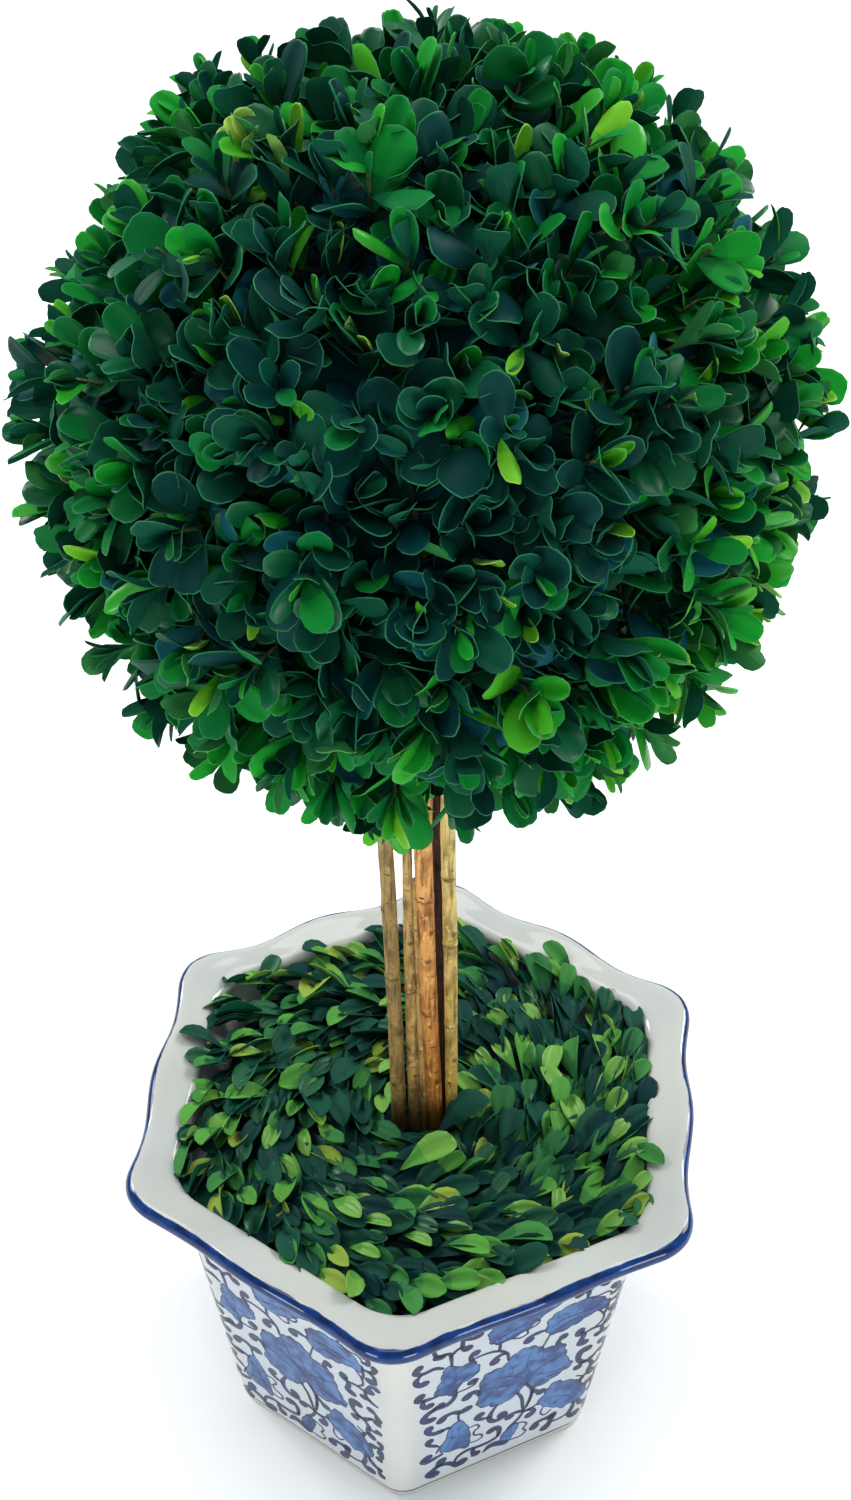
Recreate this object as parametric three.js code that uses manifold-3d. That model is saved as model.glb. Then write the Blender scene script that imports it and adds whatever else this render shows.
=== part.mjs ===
// A box topiary ball in its planter: a clipped ball of box leaves on a bundle of five straight stems, which
// stand in a filled six-sided porcelain planter under a bed of flat-lying leaves. The planter's broad lip has
// a waved edge. Millimetres, Z up. The origin is the middle of the planter's flat underside, and one corner
// of the planter points nearly to -Y.

import * as THREE from 'three';
import { mergeVertices } from 'three/addons/utils/BufferGeometryUtils.js';
import Module from 'manifold-3d';

const wasm = await Module();
wasm.setup();

// Driving dimensions
const CLEARANCE = 0.3;
const FOOT_RADIUS = 81.4;
const BODY_FLARE = 0.122;
const WALL = 6.5;
const FLOOR_THICKNESS = 8;
const LIP_HEIGHT = 150.8;
const LIP_RADIUS = 117.7;
const LIP_EDGE = 5;
const MOUTH_RADIUS = 101;
const PLANTER_TURN = THREE.MathUtils.degToRad(-5.5);
const BODY_CORNER = 12;
const LIP_CORNER = 24;
const LIP_WAVE_OUT = 1.3;
const LIP_WAVE_UP = 1.2;
const FLARE_START_Z = 130;
const FOOT_BAND = 4.6;
const STEM_FOOT_Z = 60;
const BED_Z = 133;
const NECK_Z = 280;
const STEM_TOP_Z = 390;
const BLOCK_TOP_Z = 114;
const FILL_INSET = 0.5;
const BED_CREST_Z = 142;
const BED_HOLLOW_RADIUS = 14;
const BED_CREST_RADIUS = 58;
const BED_FALL = 0.05;
const BED_LEAF_SUNK = 1.5;
const BED_LEAF_FIRST_RADIUS = 17;
const BED_LEAF_LAST_RADIUS = 91;
const BALL_CENTRE_Z = 431;
const BALL_REACH = 118;
const BALL_HEIGHT_SHARE = 0.98;
const CORE_RADIUS = 87;
const TWIG_REACH = [93, 97];

// Counts and proportions that set how fine the pieces are
const HEX_SIDES = 6;
const FINE_STEPS = 12;
const COARSE_STEPS = 6;
const STEM_SIDES = 8;
const TWIG_COUNT = 92;
const BED_LEAF_COUNT = 120;
const GOLDEN_ANGLE = Math.PI * (3 - Math.sqrt(5));

// Sizes of the twigs and leaves, which are larger than life because each leaf stands for a small spray
const TWIG_ROOT_RADIUS = 2.6;
const TWIG_TIP_RADIUS = 1.7;
const CROWN_LEAF = { length: 27, width: 17, thickness: 1.5 };
const BED_LEAF = { length: 27, width: 15, thickness: 1.5 };
const WIDEST_BEYOND_MIDDLE = 0.1;

// The ball's leaf pairs: how far below the twig's tip a pair grows, how far it leans out from the twig, and
// how far it is turned about the twig.
const CROWN_PAIRS = [
  { below: 7, lean: 1.05, turn: 0 },
  { below: 2, lean: 0.5, turn: Math.PI / 2 },
];

// The five stems, from left to right and the dark one behind. foot is where a stem leaves the bed, neck is
// where it meets the ball, and bow is how far its middle strays sideways.
const STEMS = [
  { name: 'stem_left', foot: [-7.9, -1.0], neck: [-11.9, -1.0], footRadius: 2.9, neckRadius: 2.7, bow: 0.3 },
  { name: 'stem_thin', foot: [-1.8, 0.0], neck: [-4.7, 1.2], footRadius: 2.7, neckRadius: 1.7, bow: -0.3 },
  { name: 'stem_middle', foot: [6.1, -1.0], neck: [0.7, -1.0], footRadius: 3.1, neckRadius: 3.3, bow: -0.5 },
  { name: 'stem_right', foot: [11.9, 0.2], neck: [9.1, -0.5], footRadius: 2.3, neckRadius: 2.7, bow: 0.5 },
  { name: 'stem_back', foot: [8.4, 5.6], neck: [5.5, 4.8], footRadius: 2.4, neckRadius: 2.4, bow: 0.1 },
];

// Colours and finishes
const porcelain = new THREE.MeshStandardMaterial({ color: 0xdfe4ea, roughness: 0.12, metalness: 0 });
const plantingFoam = new THREE.MeshStandardMaterial({ color: 0x2f3a2a, roughness: 0.95, metalness: 0 });
const bedGreen = new THREE.MeshStandardMaterial({ color: 0x3f8a2e, roughness: 0.5, metalness: 0 });
const boxGreen = new THREE.MeshStandardMaterial({ color: 0x14602c, roughness: 0.45, metalness: 0 });
const BARK_COLOURS = {
  stem_left: 0x99804f,
  stem_thin: 0xb39966,
  stem_middle: 0xb8743f,
  stem_right: 0xc0a85c,
  stem_back: 0x40262a,
};

// A stream of even random numbers from 0 to 1 that is the same on every run.
function seededRandom(seed) {
  let state = seed;
  return () => {
    state = (state + 0x6d2b79f5) | 0;
    let mixed = Math.imul(state ^ (state >>> 15), 1 | state);
    mixed = (mixed + Math.imul(mixed ^ (mixed >>> 7), 61 | mixed)) ^ mixed;
    return ((mixed ^ (mixed >>> 14)) >>> 0) / 4294967296;
  };
}

function between(random, low, high) {
  return low + (high - low) * random();
}

// Joins a closed shape's shared corners and drops the faces that a pole or a seam leaves without area.
function weld(geometry) {
  const bare = geometry.clone();
  bare.deleteAttribute('normal');
  bare.deleteAttribute('uv');
  const welded = mergeVertices(bare, 1e-4);
  const kept = [];
  const index = welded.index.array;
  for (let i = 0; i < index.length; i += 3) {
    const [a, b, c] = [index[i], index[i + 1], index[i + 2]];
    if (a !== b && b !== c && c !== a) kept.push(a, b, c);
  }
  welded.setIndex(kept);
  return welded;
}

function toSolid(geometry) {
  const welded = weld(geometry);
  return new wasm.Manifold(
    new wasm.Mesh({
      numProp: 3,
      vertProperties: new Float32Array(welded.attributes.position.array),
      triVerts: new Uint32Array(welded.index.array),
    }),
  );
}

function toGeometry(solid) {
  const mesh = solid.getMesh();
  const geometry = new THREE.BufferGeometry();
  geometry.setAttribute('position', new THREE.BufferAttribute(mesh.vertProperties, mesh.numProp));
  geometry.setIndex(new THREE.BufferAttribute(mesh.triVerts, 1));
  geometry.computeVertexNormals();
  return geometry;
}

// The largest whole body of a solid, so that sealed hollows are filled and loose scraps are dropped.
function mainBody(solid) {
  return solid.decompose().reduce((best, piece) => (piece.volume() > best.volume() ? piece : best));
}

function touches(solid, others) {
  return others.some((other) => !solid.intersect(other).isEmpty());
}

// A closed turned shape about Z, from an outline of [radius, height] that starts and ends on the axis.
function turned(outline, segments) {
  const points = outline.map(([radius, height]) => new THREE.Vector2(radius, height));
  return new THREE.LatheGeometry(points, segments).rotateX(Math.PI / 2);
}

// A point on a rounded hexagon: u runs along a side from its middle and v outwards from the axis. A third of
// the steps go round the corners, and step 0 is the middle of the corner where the side begins.
function hexSidePoint(step, steps, vertexRadius, cornerRadius) {
  const arcSteps = steps / 6;
  const fromEnd = Math.min(step, steps - step);
  const way = step <= steps / 2 ? -1 : 1;
  if (fromEnd < arcSteps) {
    const lean = (Math.PI / 6) * (1 - fromEnd / arcSteps);
    const centre = vertexRadius - cornerRadius / Math.cos(Math.PI / 6);
    const u = way * (centre / 2 + cornerRadius * Math.sin(lean));
    return { u, v: centre * Math.cos(Math.PI / 6) + cornerRadius * Math.cos(lean) };
  }
  const half = vertexRadius / 2 - cornerRadius * Math.tan(Math.PI / 6);
  const share = (step - arcSteps) / (steps - 2 * arcSteps);
  return { u: half * (2 * share - 1), v: vertexRadius * Math.cos(Math.PI / 6) };
}

// Turns a round shape about Z into a rounded hexagon of the same sharp-corner radius at each height.
// waveAt says how much of the lip's wave a point has: the lip swells out and up at each corner and at the
// middle of each side, and draws back between them.
function makeHexagonal(geometry, steps, waveAt) {
  const place = geometry.attributes.position;
  const segments = steps * HEX_SIDES;
  for (let i = 0; i < place.count; i += 1) {
    const radius = Math.hypot(place.getX(i), place.getY(i));
    const height = place.getZ(i);
    if (radius < 1) continue;
    const angle = Math.atan2(place.getX(i), -place.getY(i));
    const turn = Math.round((angle / (2 * Math.PI)) * segments + segments) % segments;
    const side = Math.floor(turn / steps);
    const lipShare = THREE.MathUtils.smoothstep(height, FLARE_START_Z, LIP_HEIGHT);
    const corner = Math.min(THREE.MathUtils.lerp(BODY_CORNER, LIP_CORNER, lipShare), radius / 2);
    const { u, v } = hexSidePoint(turn % steps, steps, radius, corner);
    const facing = PLANTER_TURN + (side + 0.5) * (Math.PI / 3);
    const wave = waveAt(radius, height) * Math.cos((4 * Math.PI * (u + radius / 2)) / radius);
    const swell = 1 + (wave * LIP_WAVE_OUT) / radius;
    const x = (Math.sin(facing) * v + Math.cos(facing) * u) * swell;
    const y = (Math.sin(facing) * u - Math.cos(facing) * v) * swell;
    place.setXYZ(i, x, y, height + wave * LIP_WAVE_UP);
  }
  return geometry;
}

const noWave = () => 0;

function lipWave(radius, height) {
  if (height < FLARE_START_Z) return 0;
  return THREE.MathUtils.smoothstep(radius, MOUTH_RADIUS, LIP_RADIUS);
}

// The sharp-corner radius of the planter's outer wall, and of the inside of that wall, at a height.
function bodyRadius(height) {
  return FOOT_RADIUS + BODY_FLARE * height;
}

function innerRadius(height) {
  return bodyRadius(height) - WALL;
}

// The planter's outline: a foot band, a wall that widens evenly, a cove under the lip, the lip's rounded
// edge, its nearly flat top, and the inside down to the floor.
function planter() {
  const cove = [
    [bodyRadius(120), 120],
    [97.6, 130],
    [100.0, 135.4],
    [104.2, 139.6],
    [110.2, 142.8],
  ];
  const lipEdge = [
    [LIP_RADIUS - 1.8, LIP_HEIGHT - LIP_EDGE - 1.4],
    [LIP_RADIUS - 0.2, LIP_HEIGHT - LIP_EDGE],
    [LIP_RADIUS, LIP_HEIGHT - 1.2],
    [LIP_RADIUS - 2.0, LIP_HEIGHT],
  ];
  const mouth = [
    [MOUTH_RADIUS + 7, LIP_HEIGHT - 1.3],
    [MOUTH_RADIUS, LIP_HEIGHT - 3],
    [MOUTH_RADIUS - 1.8, LIP_HEIGHT - 4.6],
    [MOUTH_RADIUS - 2.4, LIP_HEIGHT - 9],
    [innerRadius(FLARE_START_Z), FLARE_START_Z],
  ];
  const outline = [
    [0, 0],
    [FOOT_RADIUS - 1.8, 0],
    [FOOT_RADIUS - 0.9, 0.9],
    [FOOT_RADIUS - 0.6, FOOT_BAND - 0.8],
    [bodyRadius(FOOT_BAND), FOOT_BAND],
    ...cove,
    ...lipEdge,
    ...mouth,
    [innerRadius(FLOOR_THICKNESS + 4), FLOOR_THICKNESS + 4],
    [innerRadius(FLOOR_THICKNESS) - 4, FLOOR_THICKNESS],
    [0, FLOOR_THICKNESS],
  ];
  return makeHexagonal(turned(outline, FINE_STEPS * HEX_SIDES), FINE_STEPS, lipWave);
}

// The block that fills the planter and grips the stems, cut clear of the floor and the walls.
function plantingBlock() {
  const foot = FLOOR_THICKNESS + CLEARANCE;
  const outline = [
    [0, foot],
    [innerRadius(foot) - 6, foot],
    [innerRadius(foot + 6) - FILL_INSET, foot + 6],
    [innerRadius(BLOCK_TOP_Z) - FILL_INSET, BLOCK_TOP_Z],
    [0, BLOCK_TOP_Z],
  ];
  return toSolid(makeHexagonal(turned(outline, COARSE_STEPS * HEX_SIDES), COARSE_STEPS, noWave));
}

// Where a stem's middle is at a height. It leans from the bed to its neck, and is upright below and above.
function stemMiddle(stem, height) {
  const share = THREE.MathUtils.clamp((height - BED_Z) / (NECK_Z - BED_Z), 0, 1);
  return {
    x: THREE.MathUtils.lerp(stem.foot[0], stem.neck[0], share) + stem.bow * Math.sin(Math.PI * share),
    y: THREE.MathUtils.lerp(stem.foot[1], stem.neck[1], share),
    radius: THREE.MathUtils.lerp(stem.footRadius, stem.neckRadius, share),
  };
}

// A stem, or with a margin the space that the pieces round it are cut clear of.
function stemShape(stem, margin) {
  const middle = (BED_Z + NECK_Z) / 2;
  const heights = [STEM_FOOT_Z - margin, BED_Z, (BED_Z + middle) / 2, middle, NECK_Z, STEM_TOP_Z + margin];
  const widen = margin / Math.cos(Math.PI / STEM_SIDES);
  const rings = heights.map((height) => [stemMiddle(stem, height).radius + widen, height]);
  const outline = [[0, heights[0]], ...rings, [0, heights.at(-1)]];
  const geometry = turned(outline, STEM_SIDES);
  const place = geometry.attributes.position;
  for (let i = 0; i < place.count; i += 1) {
    const { x, y } = stemMiddle(stem, place.getZ(i));
    place.setXY(i, place.getX(i) + x, place.getY(i) + y);
  }
  return geometry;
}

// A leaf of eight faces, widest beyond its middle. It grows from root along the way given, and its blade
// faces the given side as nearly as it can.
function leafShape(root, way, facing, { length, width, thickness }) {
  const geometry = new THREE.OctahedronGeometry(1);
  const place = geometry.attributes.position;
  for (let i = 0; i < place.count; i += 1) {
    const onRim = Math.abs(place.getY(i)) < 0.5;
    const along = (place.getY(i) + 1) / 2 + (onRim ? WIDEST_BEYOND_MIDDLE : 0);
    place.setXYZ(i, (place.getX(i) * width) / 2, along * length, (place.getZ(i) * thickness) / 2);
  }
  const across = new THREE.Vector3().crossVectors(way, facing).normalize();
  const blade = new THREE.Vector3().crossVectors(across, way);
  const frame = new THREE.Matrix4().makeBasis(across, way, blade).setPosition(root);
  return geometry.applyMatrix4(frame);
}

// A leaf's size with its length, and nothing else, grown or shrunk at random.
function randomLeaf(random, leaf) {
  return { ...leaf, length: leaf.length * between(random, 0.85, 1.1) };
}

// A leaf's size with the clearance that it keeps on every side.
function roomy({ length, width, thickness }) {
  const room = 2 * CLEARANCE;
  return { length: length + room, width: width + room, thickness: thickness + room };
}

// A three-sided twig that tapers from its root to its tip.
function twigShape(root, tip) {
  const way = new THREE.Vector3().subVectors(tip, root);
  const geometry = new THREE.CylinderGeometry(TWIG_TIP_RADIUS, TWIG_ROOT_RADIUS, way.length(), 3);
  const turn = new THREE.Quaternion().setFromUnitVectors(new THREE.Vector3(0, 1, 0), way.clone().normalize());
  const middle = new THREE.Vector3().addVectors(root, tip).multiplyScalar(0.5);
  return geometry.applyQuaternion(turn).translate(middle.x, middle.y, middle.z);
}

// Even directions over a sphere, from the top down.
function evenDirection(step, count) {
  const height = 1 - (2 * (step + 0.5)) / count;
  const radius = Math.sqrt(1 - height * height);
  const angle = step * GOLDEN_ANGLE;
  return new THREE.Vector3(radius * Math.cos(angle), radius * Math.sin(angle), height);
}

function ballPoint(way, radius) {
  const height = BALL_CENTRE_Z + way.z * radius * BALL_HEIGHT_SHARE;
  return new THREE.Vector3(way.x * radius, way.y * radius, height);
}

// How far a point lies from the ball's middle, measured against the ball's height and width.
function ballDistance(point) {
  return Math.hypot(point.x, point.y, (point.z - BALL_CENTRE_Z) / BALL_HEIGHT_SHARE);
}

// One twig of the ball with its leaves in opposite pairs, each pair a quarter turn from the last. A leaf
// that would leave the ball or touch a stem is left out.
function crownSpray(random, step, keepOut) {
  const way = evenDirection(step, TWIG_COUNT);
  const tipRadius = between(random, ...TWIG_REACH);
  const root = ballPoint(way, CORE_RADIUS - 6);
  const tip = ballPoint(way, tipRadius);
  const parts = [toSolid(twigShape(root, tip))];
  const side = new THREE.Vector3(0, 0, 1).cross(way).normalize();
  side.applyAxisAngle(way, between(random, 0, Math.PI));
  for (const pair of CROWN_PAIRS) {
    const start = ballPoint(way, tipRadius - pair.below);
    for (const half of [0, Math.PI]) {
      const out = side.clone().applyAxisAngle(way, pair.turn + half + between(random, -0.3, 0.3));
      const lean = pair.lean + between(random, -0.2, 0.2);
      const growth = way.clone().multiplyScalar(Math.cos(lean)).addScaledVector(out, Math.sin(lean));
      const size = randomLeaf(random, CROWN_LEAF);
      const end = start.clone().addScaledVector(growth, size.length);
      if (ballDistance(end) > BALL_REACH) continue;
      const leaf = toSolid(leafShape(start, growth, way, size));
      if (!touches(leaf, keepOut)) parts.push(leaf);
    }
  }
  return parts;
}

// The clipped ball: a core with twigs and leaves standing out of it, cut clear of the stems inside it.
function foliageBall(keepOut) {
  const random = seededRandom(7);
  const core = new THREE.IcosahedronGeometry(CORE_RADIUS, 3);
  core.scale(1, 1, BALL_HEIGHT_SHARE).translate(0, 0, BALL_CENTRE_Z);
  const parts = [toSolid(core)];
  for (let step = 0; step < TWIG_COUNT; step += 1) {
    parts.push(...crownSpray(random, step, keepOut));
  }
  return cutClear(mainBody(wasm.Manifold.union(parts)), keepOut);
}

// Takes the given spaces out of a solid and leaves one whole body with no specks.
function cutClear(solid, keepOut) {
  return mainBody(keepOut.reduce((rest, space) => rest.subtract(space), solid).simplify(0.01));
}

// The height of the bed's leafy crest over a radius: low round the stems, highest half way out.
function bedHeight(radius) {
  const width = BED_CREST_RADIUS - BED_HOLLOW_RADIUS;
  const share = THREE.MathUtils.clamp((radius - BED_HOLLOW_RADIUS) / width, 0, 1);
  const rise = (BED_CREST_Z - BED_Z) * Math.sin((share * Math.PI) / 2);
  return BED_Z + rise - Math.max(0, radius - BED_CREST_RADIUS) * BED_FALL;
}

function bedCore() {
  const foot = BLOCK_TOP_Z + CLEARANCE;
  const edge = BED_Z + 2;
  const tops = [80, 62, 40, 24, 12];
  const outline = [
    [0, foot],
    [innerRadius(foot) - FILL_INSET, foot],
    [innerRadius(FLARE_START_Z) - FILL_INSET, FLARE_START_Z],
    [innerRadius(edge) - FILL_INSET, edge],
    ...tops.map((radius) => [radius, bedHeight(radius)]),
    [0, bedHeight(0)],
  ];
  return toSolid(makeHexagonal(turned(outline, COARSE_STEPS * HEX_SIDES), COARSE_STEPS, noWave));
}

// The bed: a low wreath of leaves that all point the same way round the stems, their roots sunk in its core.
// A leaf that would touch a stem or the planter is left out.
function leafBed(stemSpaces, planterSolid) {
  const random = seededRandom(23);
  const up = new THREE.Vector3(0, 0, 1);
  const keepOut = [...stemSpaces, planterSolid];
  const parts = [bedCore()];
  for (let step = 0; step < BED_LEAF_COUNT; step += 1) {
    const share = Math.sqrt((step + 0.5) / BED_LEAF_COUNT);
    const radius = THREE.MathUtils.lerp(BED_LEAF_FIRST_RADIUS, BED_LEAF_LAST_RADIUS, share);
    const angle = step * GOLDEN_ANGLE;
    const outward = new THREE.Vector3(Math.cos(angle), Math.sin(angle), 0);
    const onward = new THREE.Vector3(-Math.sin(angle), Math.cos(angle), 0);
    const stray = between(random, -0.45, 0.45) + (radius - BED_CREST_RADIUS) * 0.006;
    const rise = between(random, 0.16, 0.42);
    const way = onward.multiplyScalar(Math.cos(stray)).addScaledVector(outward, Math.sin(stray));
    way.multiplyScalar(Math.cos(rise)).addScaledVector(up, Math.sin(rise));
    const size = randomLeaf(random, BED_LEAF);
    const root = outward.clone().multiplyScalar(radius).addScaledVector(way, -size.length * 0.3);
    root.z = bedHeight(radius) - BED_LEAF_SUNK - size.length * 0.3 * Math.sin(rise);
    if (touches(toSolid(leafShape(root, way, up, roomy(size))), keepOut)) continue;
    parts.push(toSolid(leafShape(root, way, up, size)));
  }
  return cutClear(mainBody(wasm.Manifold.union(parts)), stemSpaces);
}

function addPiece(group, name, geometry, material) {
  const mesh = new THREE.Mesh(geometry, material);
  mesh.name = name;
  group.add(mesh);
}

const topiary = new THREE.Group();
const stemSpaces = STEMS.map((stem) => toSolid(stemShape(stem, CLEARANCE)));
const planterShape = planter();

addPiece(topiary, 'planter', weld(planterShape), porcelain);
addPiece(topiary, 'planting_block', toGeometry(cutClear(plantingBlock(), stemSpaces)), plantingFoam);
addPiece(topiary, 'leaf_bed', toGeometry(leafBed(stemSpaces, toSolid(planterShape))), bedGreen);
for (const stem of STEMS) {
  const color = BARK_COLOURS[stem.name];
  const bark = new THREE.MeshStandardMaterial({ color, roughness: 0.8, metalness: 0 });
  addPiece(topiary, stem.name, weld(stemShape(stem, 0)), bark);
}
addPiece(topiary, 'foliage_ball', toGeometry(foliageBall(stemSpaces)), boxGreen);

export default topiary;
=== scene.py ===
"""Dresses the potted box topiary ball: a glazed six-sided planter with painted scroll panels, barked stems,
a bed of flat-lying leaves and a clipped ball of twigs and leaves. Shapes are worked out in millimetres and
become metres when a piece is finished. Z is up, and the origin is the middle of the planter's underside.
"""
import math
import random

import bmesh
import bpy
import numpy as np
from mathutils import Matrix, Vector, noise


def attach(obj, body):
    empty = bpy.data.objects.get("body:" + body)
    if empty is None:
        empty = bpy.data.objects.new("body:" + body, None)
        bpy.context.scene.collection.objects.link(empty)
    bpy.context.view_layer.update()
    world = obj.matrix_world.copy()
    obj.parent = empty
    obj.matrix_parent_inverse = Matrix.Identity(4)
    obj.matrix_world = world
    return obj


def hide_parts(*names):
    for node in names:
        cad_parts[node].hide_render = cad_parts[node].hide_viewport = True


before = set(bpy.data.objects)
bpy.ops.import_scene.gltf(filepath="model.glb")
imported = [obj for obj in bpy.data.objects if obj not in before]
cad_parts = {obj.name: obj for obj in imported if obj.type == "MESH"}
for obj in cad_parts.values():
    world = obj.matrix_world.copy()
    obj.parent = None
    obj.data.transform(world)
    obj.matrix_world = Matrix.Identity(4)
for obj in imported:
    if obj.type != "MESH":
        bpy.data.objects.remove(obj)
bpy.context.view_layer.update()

MM = 0.001
GOLDEN_ANGLE = math.pi * (3 - math.sqrt(5))
UP = Vector((0, 0, 1))
HEX_SIDES = 6
SIXTH_TURN = math.tau / HEX_SIDES
HALF_SIDE_TURN = SIXTH_TURN / 2

# The planter's sizes, the same as in the part's source
FOOT_RADIUS = 81.4
BODY_FLARE = 0.122
WALL = 6.5
FLOOR_THICKNESS = 8
LIP_HEIGHT = 150.8
LIP_RADIUS = 117.7
LIP_EDGE = 5
MOUTH_RADIUS = 101
PLANTER_TURN = math.radians(-5.5)
BODY_CORNER = 12
LIP_CORNER = 24
LIP_WAVE_OUT = 1.3
LIP_WAVE_UP = 1.2
FLARE_START_Z = 130
FOOT_BAND = 4.6
WALL_TOP_Z = 122
PLANTER_STEPS = 48
BED_STEPS = 24

# The stems' and the bed's sizes
STEM_FOOT_Z = 60
BED_Z = 133
NECK_Z = 280
STEM_TOP_Z = 390
BLOCK_TOP_Z = 114
FILL_INSET = 0.5
CLEARANCE = 0.3
BED_CREST_Z = 142
BED_HOLLOW_RADIUS = 14
BED_CREST_RADIUS = 58
BED_FALL = 0.05
BED_LEAVES = 760
CORE_DEPTH = 3

# The ball's sizes
BALL_CENTRE_Z = 431
BALL_REACH = 118
BALL_HEIGHT_SHARE = 0.98
BALL_CORE_RADIUS = 87
MAIN_TWIGS = 92
FINE_TWIGS = 780


def blend(low, high, share):
    return low + (high - low) * share


def held(value, low=0.0, high=1.0):
    return min(max(value, low), high)


def eased(value, low, high):
    share = held((value - low) / (high - low))
    return share * share * (3 - 2 * share)


def azimuth_of(point):
    """The direction of a point from the axis, as an angle from the front."""
    return math.atan2(point.x, -point.y)


def paint(red, green, blue):
    """A colour as a screen shows it, 0 to 255, in the linear values that a shader takes."""
    shares = (channel / 255 for channel in (red, green, blue))
    return tuple(s / 12.92 if s <= 0.04045 else ((s + 0.055) / 1.055) ** 2.4 for s in shares)


def smooth_path(points, per_span, closed=False):
    """Points along a rounded path through the given ones, with no overshoot where they lie close."""
    points = [np.array(point, float) for point in points]
    if closed:
        padded = [points[-1], *points, points[0], points[1]]
    else:
        padded = [2 * points[0] - points[1], *points, 2 * points[-1] - points[-2]]
    path = []
    for four in zip(padded, padded[1:], padded[2:], padded[3:]):
        knots = [0.0]
        for near, far in zip(four, four[1:]):
            knots.append(knots[-1] + max(np.linalg.norm(far - near), 1e-6) ** 0.5)
        for step in range(per_span):
            at = blend(knots[1], knots[2], step / per_span)
            level = list(four)
            for spans in (zip(knots, knots[1:]), zip(knots, knots[2:]), [(knots[1], knots[2])]):
                level = [
                    blend(near, far, (at - low) / (high - low))
                    for near, far, (low, high) in zip(level, level[1:], spans)
                ]
            path.append(level[0])
    if not closed:
        path.append(points[-1])
    return path


# Camera, floor and light

CAMERA_PLACE = Vector((0, -0.4686, 0.699))
CAMERA_PITCH = math.radians(39.21)
CAMERA_YAW = math.radians(0.19)
CAMERA_ROLL = math.radians(-0.21)
CAMERA_LENS = 45.05
LIGHT_AIM = Vector((0, 0, 0.33))
# Each softbox's name, place, side and watts
SOFTBOXES = [
    ("softbox_top", (0, 0.1, 3.2), 2.4, 66),
    ("softbox_left", (-1.5, 0.9, 1.5), 0.9, 30),
    ("softbox_right", (1.5, 0.9, 1.5), 0.9, 30),
    ("softbox_low_left", (-0.9, -1.2, 0.1), 0.5, 10),
    ("softbox_low_right", (0.8, -1.3, 0.1), 0.5, 10),
]
SOFTBOX_COLOUR = (1.0, 0.985, 0.96)
SKY_COLOUR = (0.78, 0.92, 1.0)
SKY_STRENGTH = 0.48
FLOOR_COLOUR = (0.9, 0.9, 0.9)
FLOOR_REACH = 6
FLOOR_DROP = 0.0002


def add_object(name, data):
    added = bpy.data.objects.new(name, data)
    bpy.context.scene.collection.objects.link(added)
    return added


def as_mesh(name, bm):
    """Turns a shape into a mesh, and frees the shape."""
    mesh = bpy.data.meshes.new(name)
    bm.to_mesh(mesh)
    bm.free()
    return mesh


def add_camera():
    ahead = Vector((
        math.sin(CAMERA_YAW) * math.cos(CAMERA_PITCH),
        math.cos(CAMERA_YAW) * math.cos(CAMERA_PITCH),
        -math.sin(CAMERA_PITCH),
    ))
    level = Vector((math.cos(CAMERA_YAW), -math.sin(CAMERA_YAW), 0))
    across = level * math.cos(CAMERA_ROLL) + ahead.cross(level) * math.sin(CAMERA_ROLL)
    below = ahead.cross(across)
    turn = Matrix((across, -below, -ahead)).transposed()
    camera = add_object("camera", bpy.data.cameras.new("camera"))
    camera.data.lens = CAMERA_LENS
    camera.data.sensor_width = 36
    camera.data.sensor_fit = "AUTO"
    camera.data.clip_start = 0.01
    camera.matrix_world = Matrix.Translation(CAMERA_PLACE) @ turn.to_4x4()
    bpy.context.scene.camera = camera


def add_softbox(name, place, side, watts):
    lamp = bpy.data.lights.new(name, "AREA")
    lamp.shape = "SQUARE"
    lamp.size = side
    lamp.energy = watts
    lamp.color = SOFTBOX_COLOUR
    softbox = add_object(name, lamp)
    softbox.location = place
    softbox.rotation_euler = (LIGHT_AIM - Vector(place)).to_track_quat("-Z", "Y").to_euler()


def add_light():
    scene = bpy.context.scene
    scene.view_settings.view_transform = "Standard"
    scene.world = bpy.data.worlds.new("studio")
    scene.world.use_nodes = True
    sky = scene.world.node_tree.nodes["Background"]
    sky.inputs["Color"].default_value = (*SKY_COLOUR, 1)
    sky.inputs["Strength"].default_value = SKY_STRENGTH
    for softbox in SOFTBOXES:
        add_softbox(*softbox)


def add_floor():
    bm = bmesh.new()
    bmesh.ops.create_grid(bm, x_segments=8, y_segments=8, size=FLOOR_REACH)
    bmesh.ops.translate(bm, vec=(0, 0, -FLOOR_DROP), verts=bm.verts)
    mesh = as_mesh("floor", bm)
    mesh.materials.append(plain_finish("pale_floor", FLOOR_COLOUR, 0.9, Specular_IOR_Level=0.1))
    add_object("floor", mesh)


# Materials

def give(material, socket, value):
    """Gives a socket another node's output or a plain value."""
    if isinstance(value, bpy.types.NodeSocket):
        material.node_tree.links.new(value, socket)
    else:
        socket.default_value = value


def add_node(material, kind, inputs=None, **settings):
    """Adds a shader node with its settings and inputs."""
    node = material.node_tree.nodes.new(kind)
    for name, value in settings.items():
        setattr(node, name, value)
    for name, value in (inputs or {}).items():
        give(material, node.inputs[name], value)
    return node


def shader_of(material):
    return material.node_tree.nodes["Principled BSDF"]


def feed(material, socket, output):
    give(material, shader_of(material).inputs[socket], output)


def plain_finish(name, colour, roughness, **sockets):
    """A material whose values are the same all over it. A socket's name has _ for each space."""
    material = bpy.data.materials.new(name)
    material.use_nodes = True
    shader = shader_of(material)
    shader.inputs["Base Color"].default_value = (*colour, 1)
    shader.inputs["Roughness"].default_value = roughness
    for socket, value in sockets.items():
        shader.inputs[socket.replace("_", " ")].default_value = value
    return material


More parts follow.
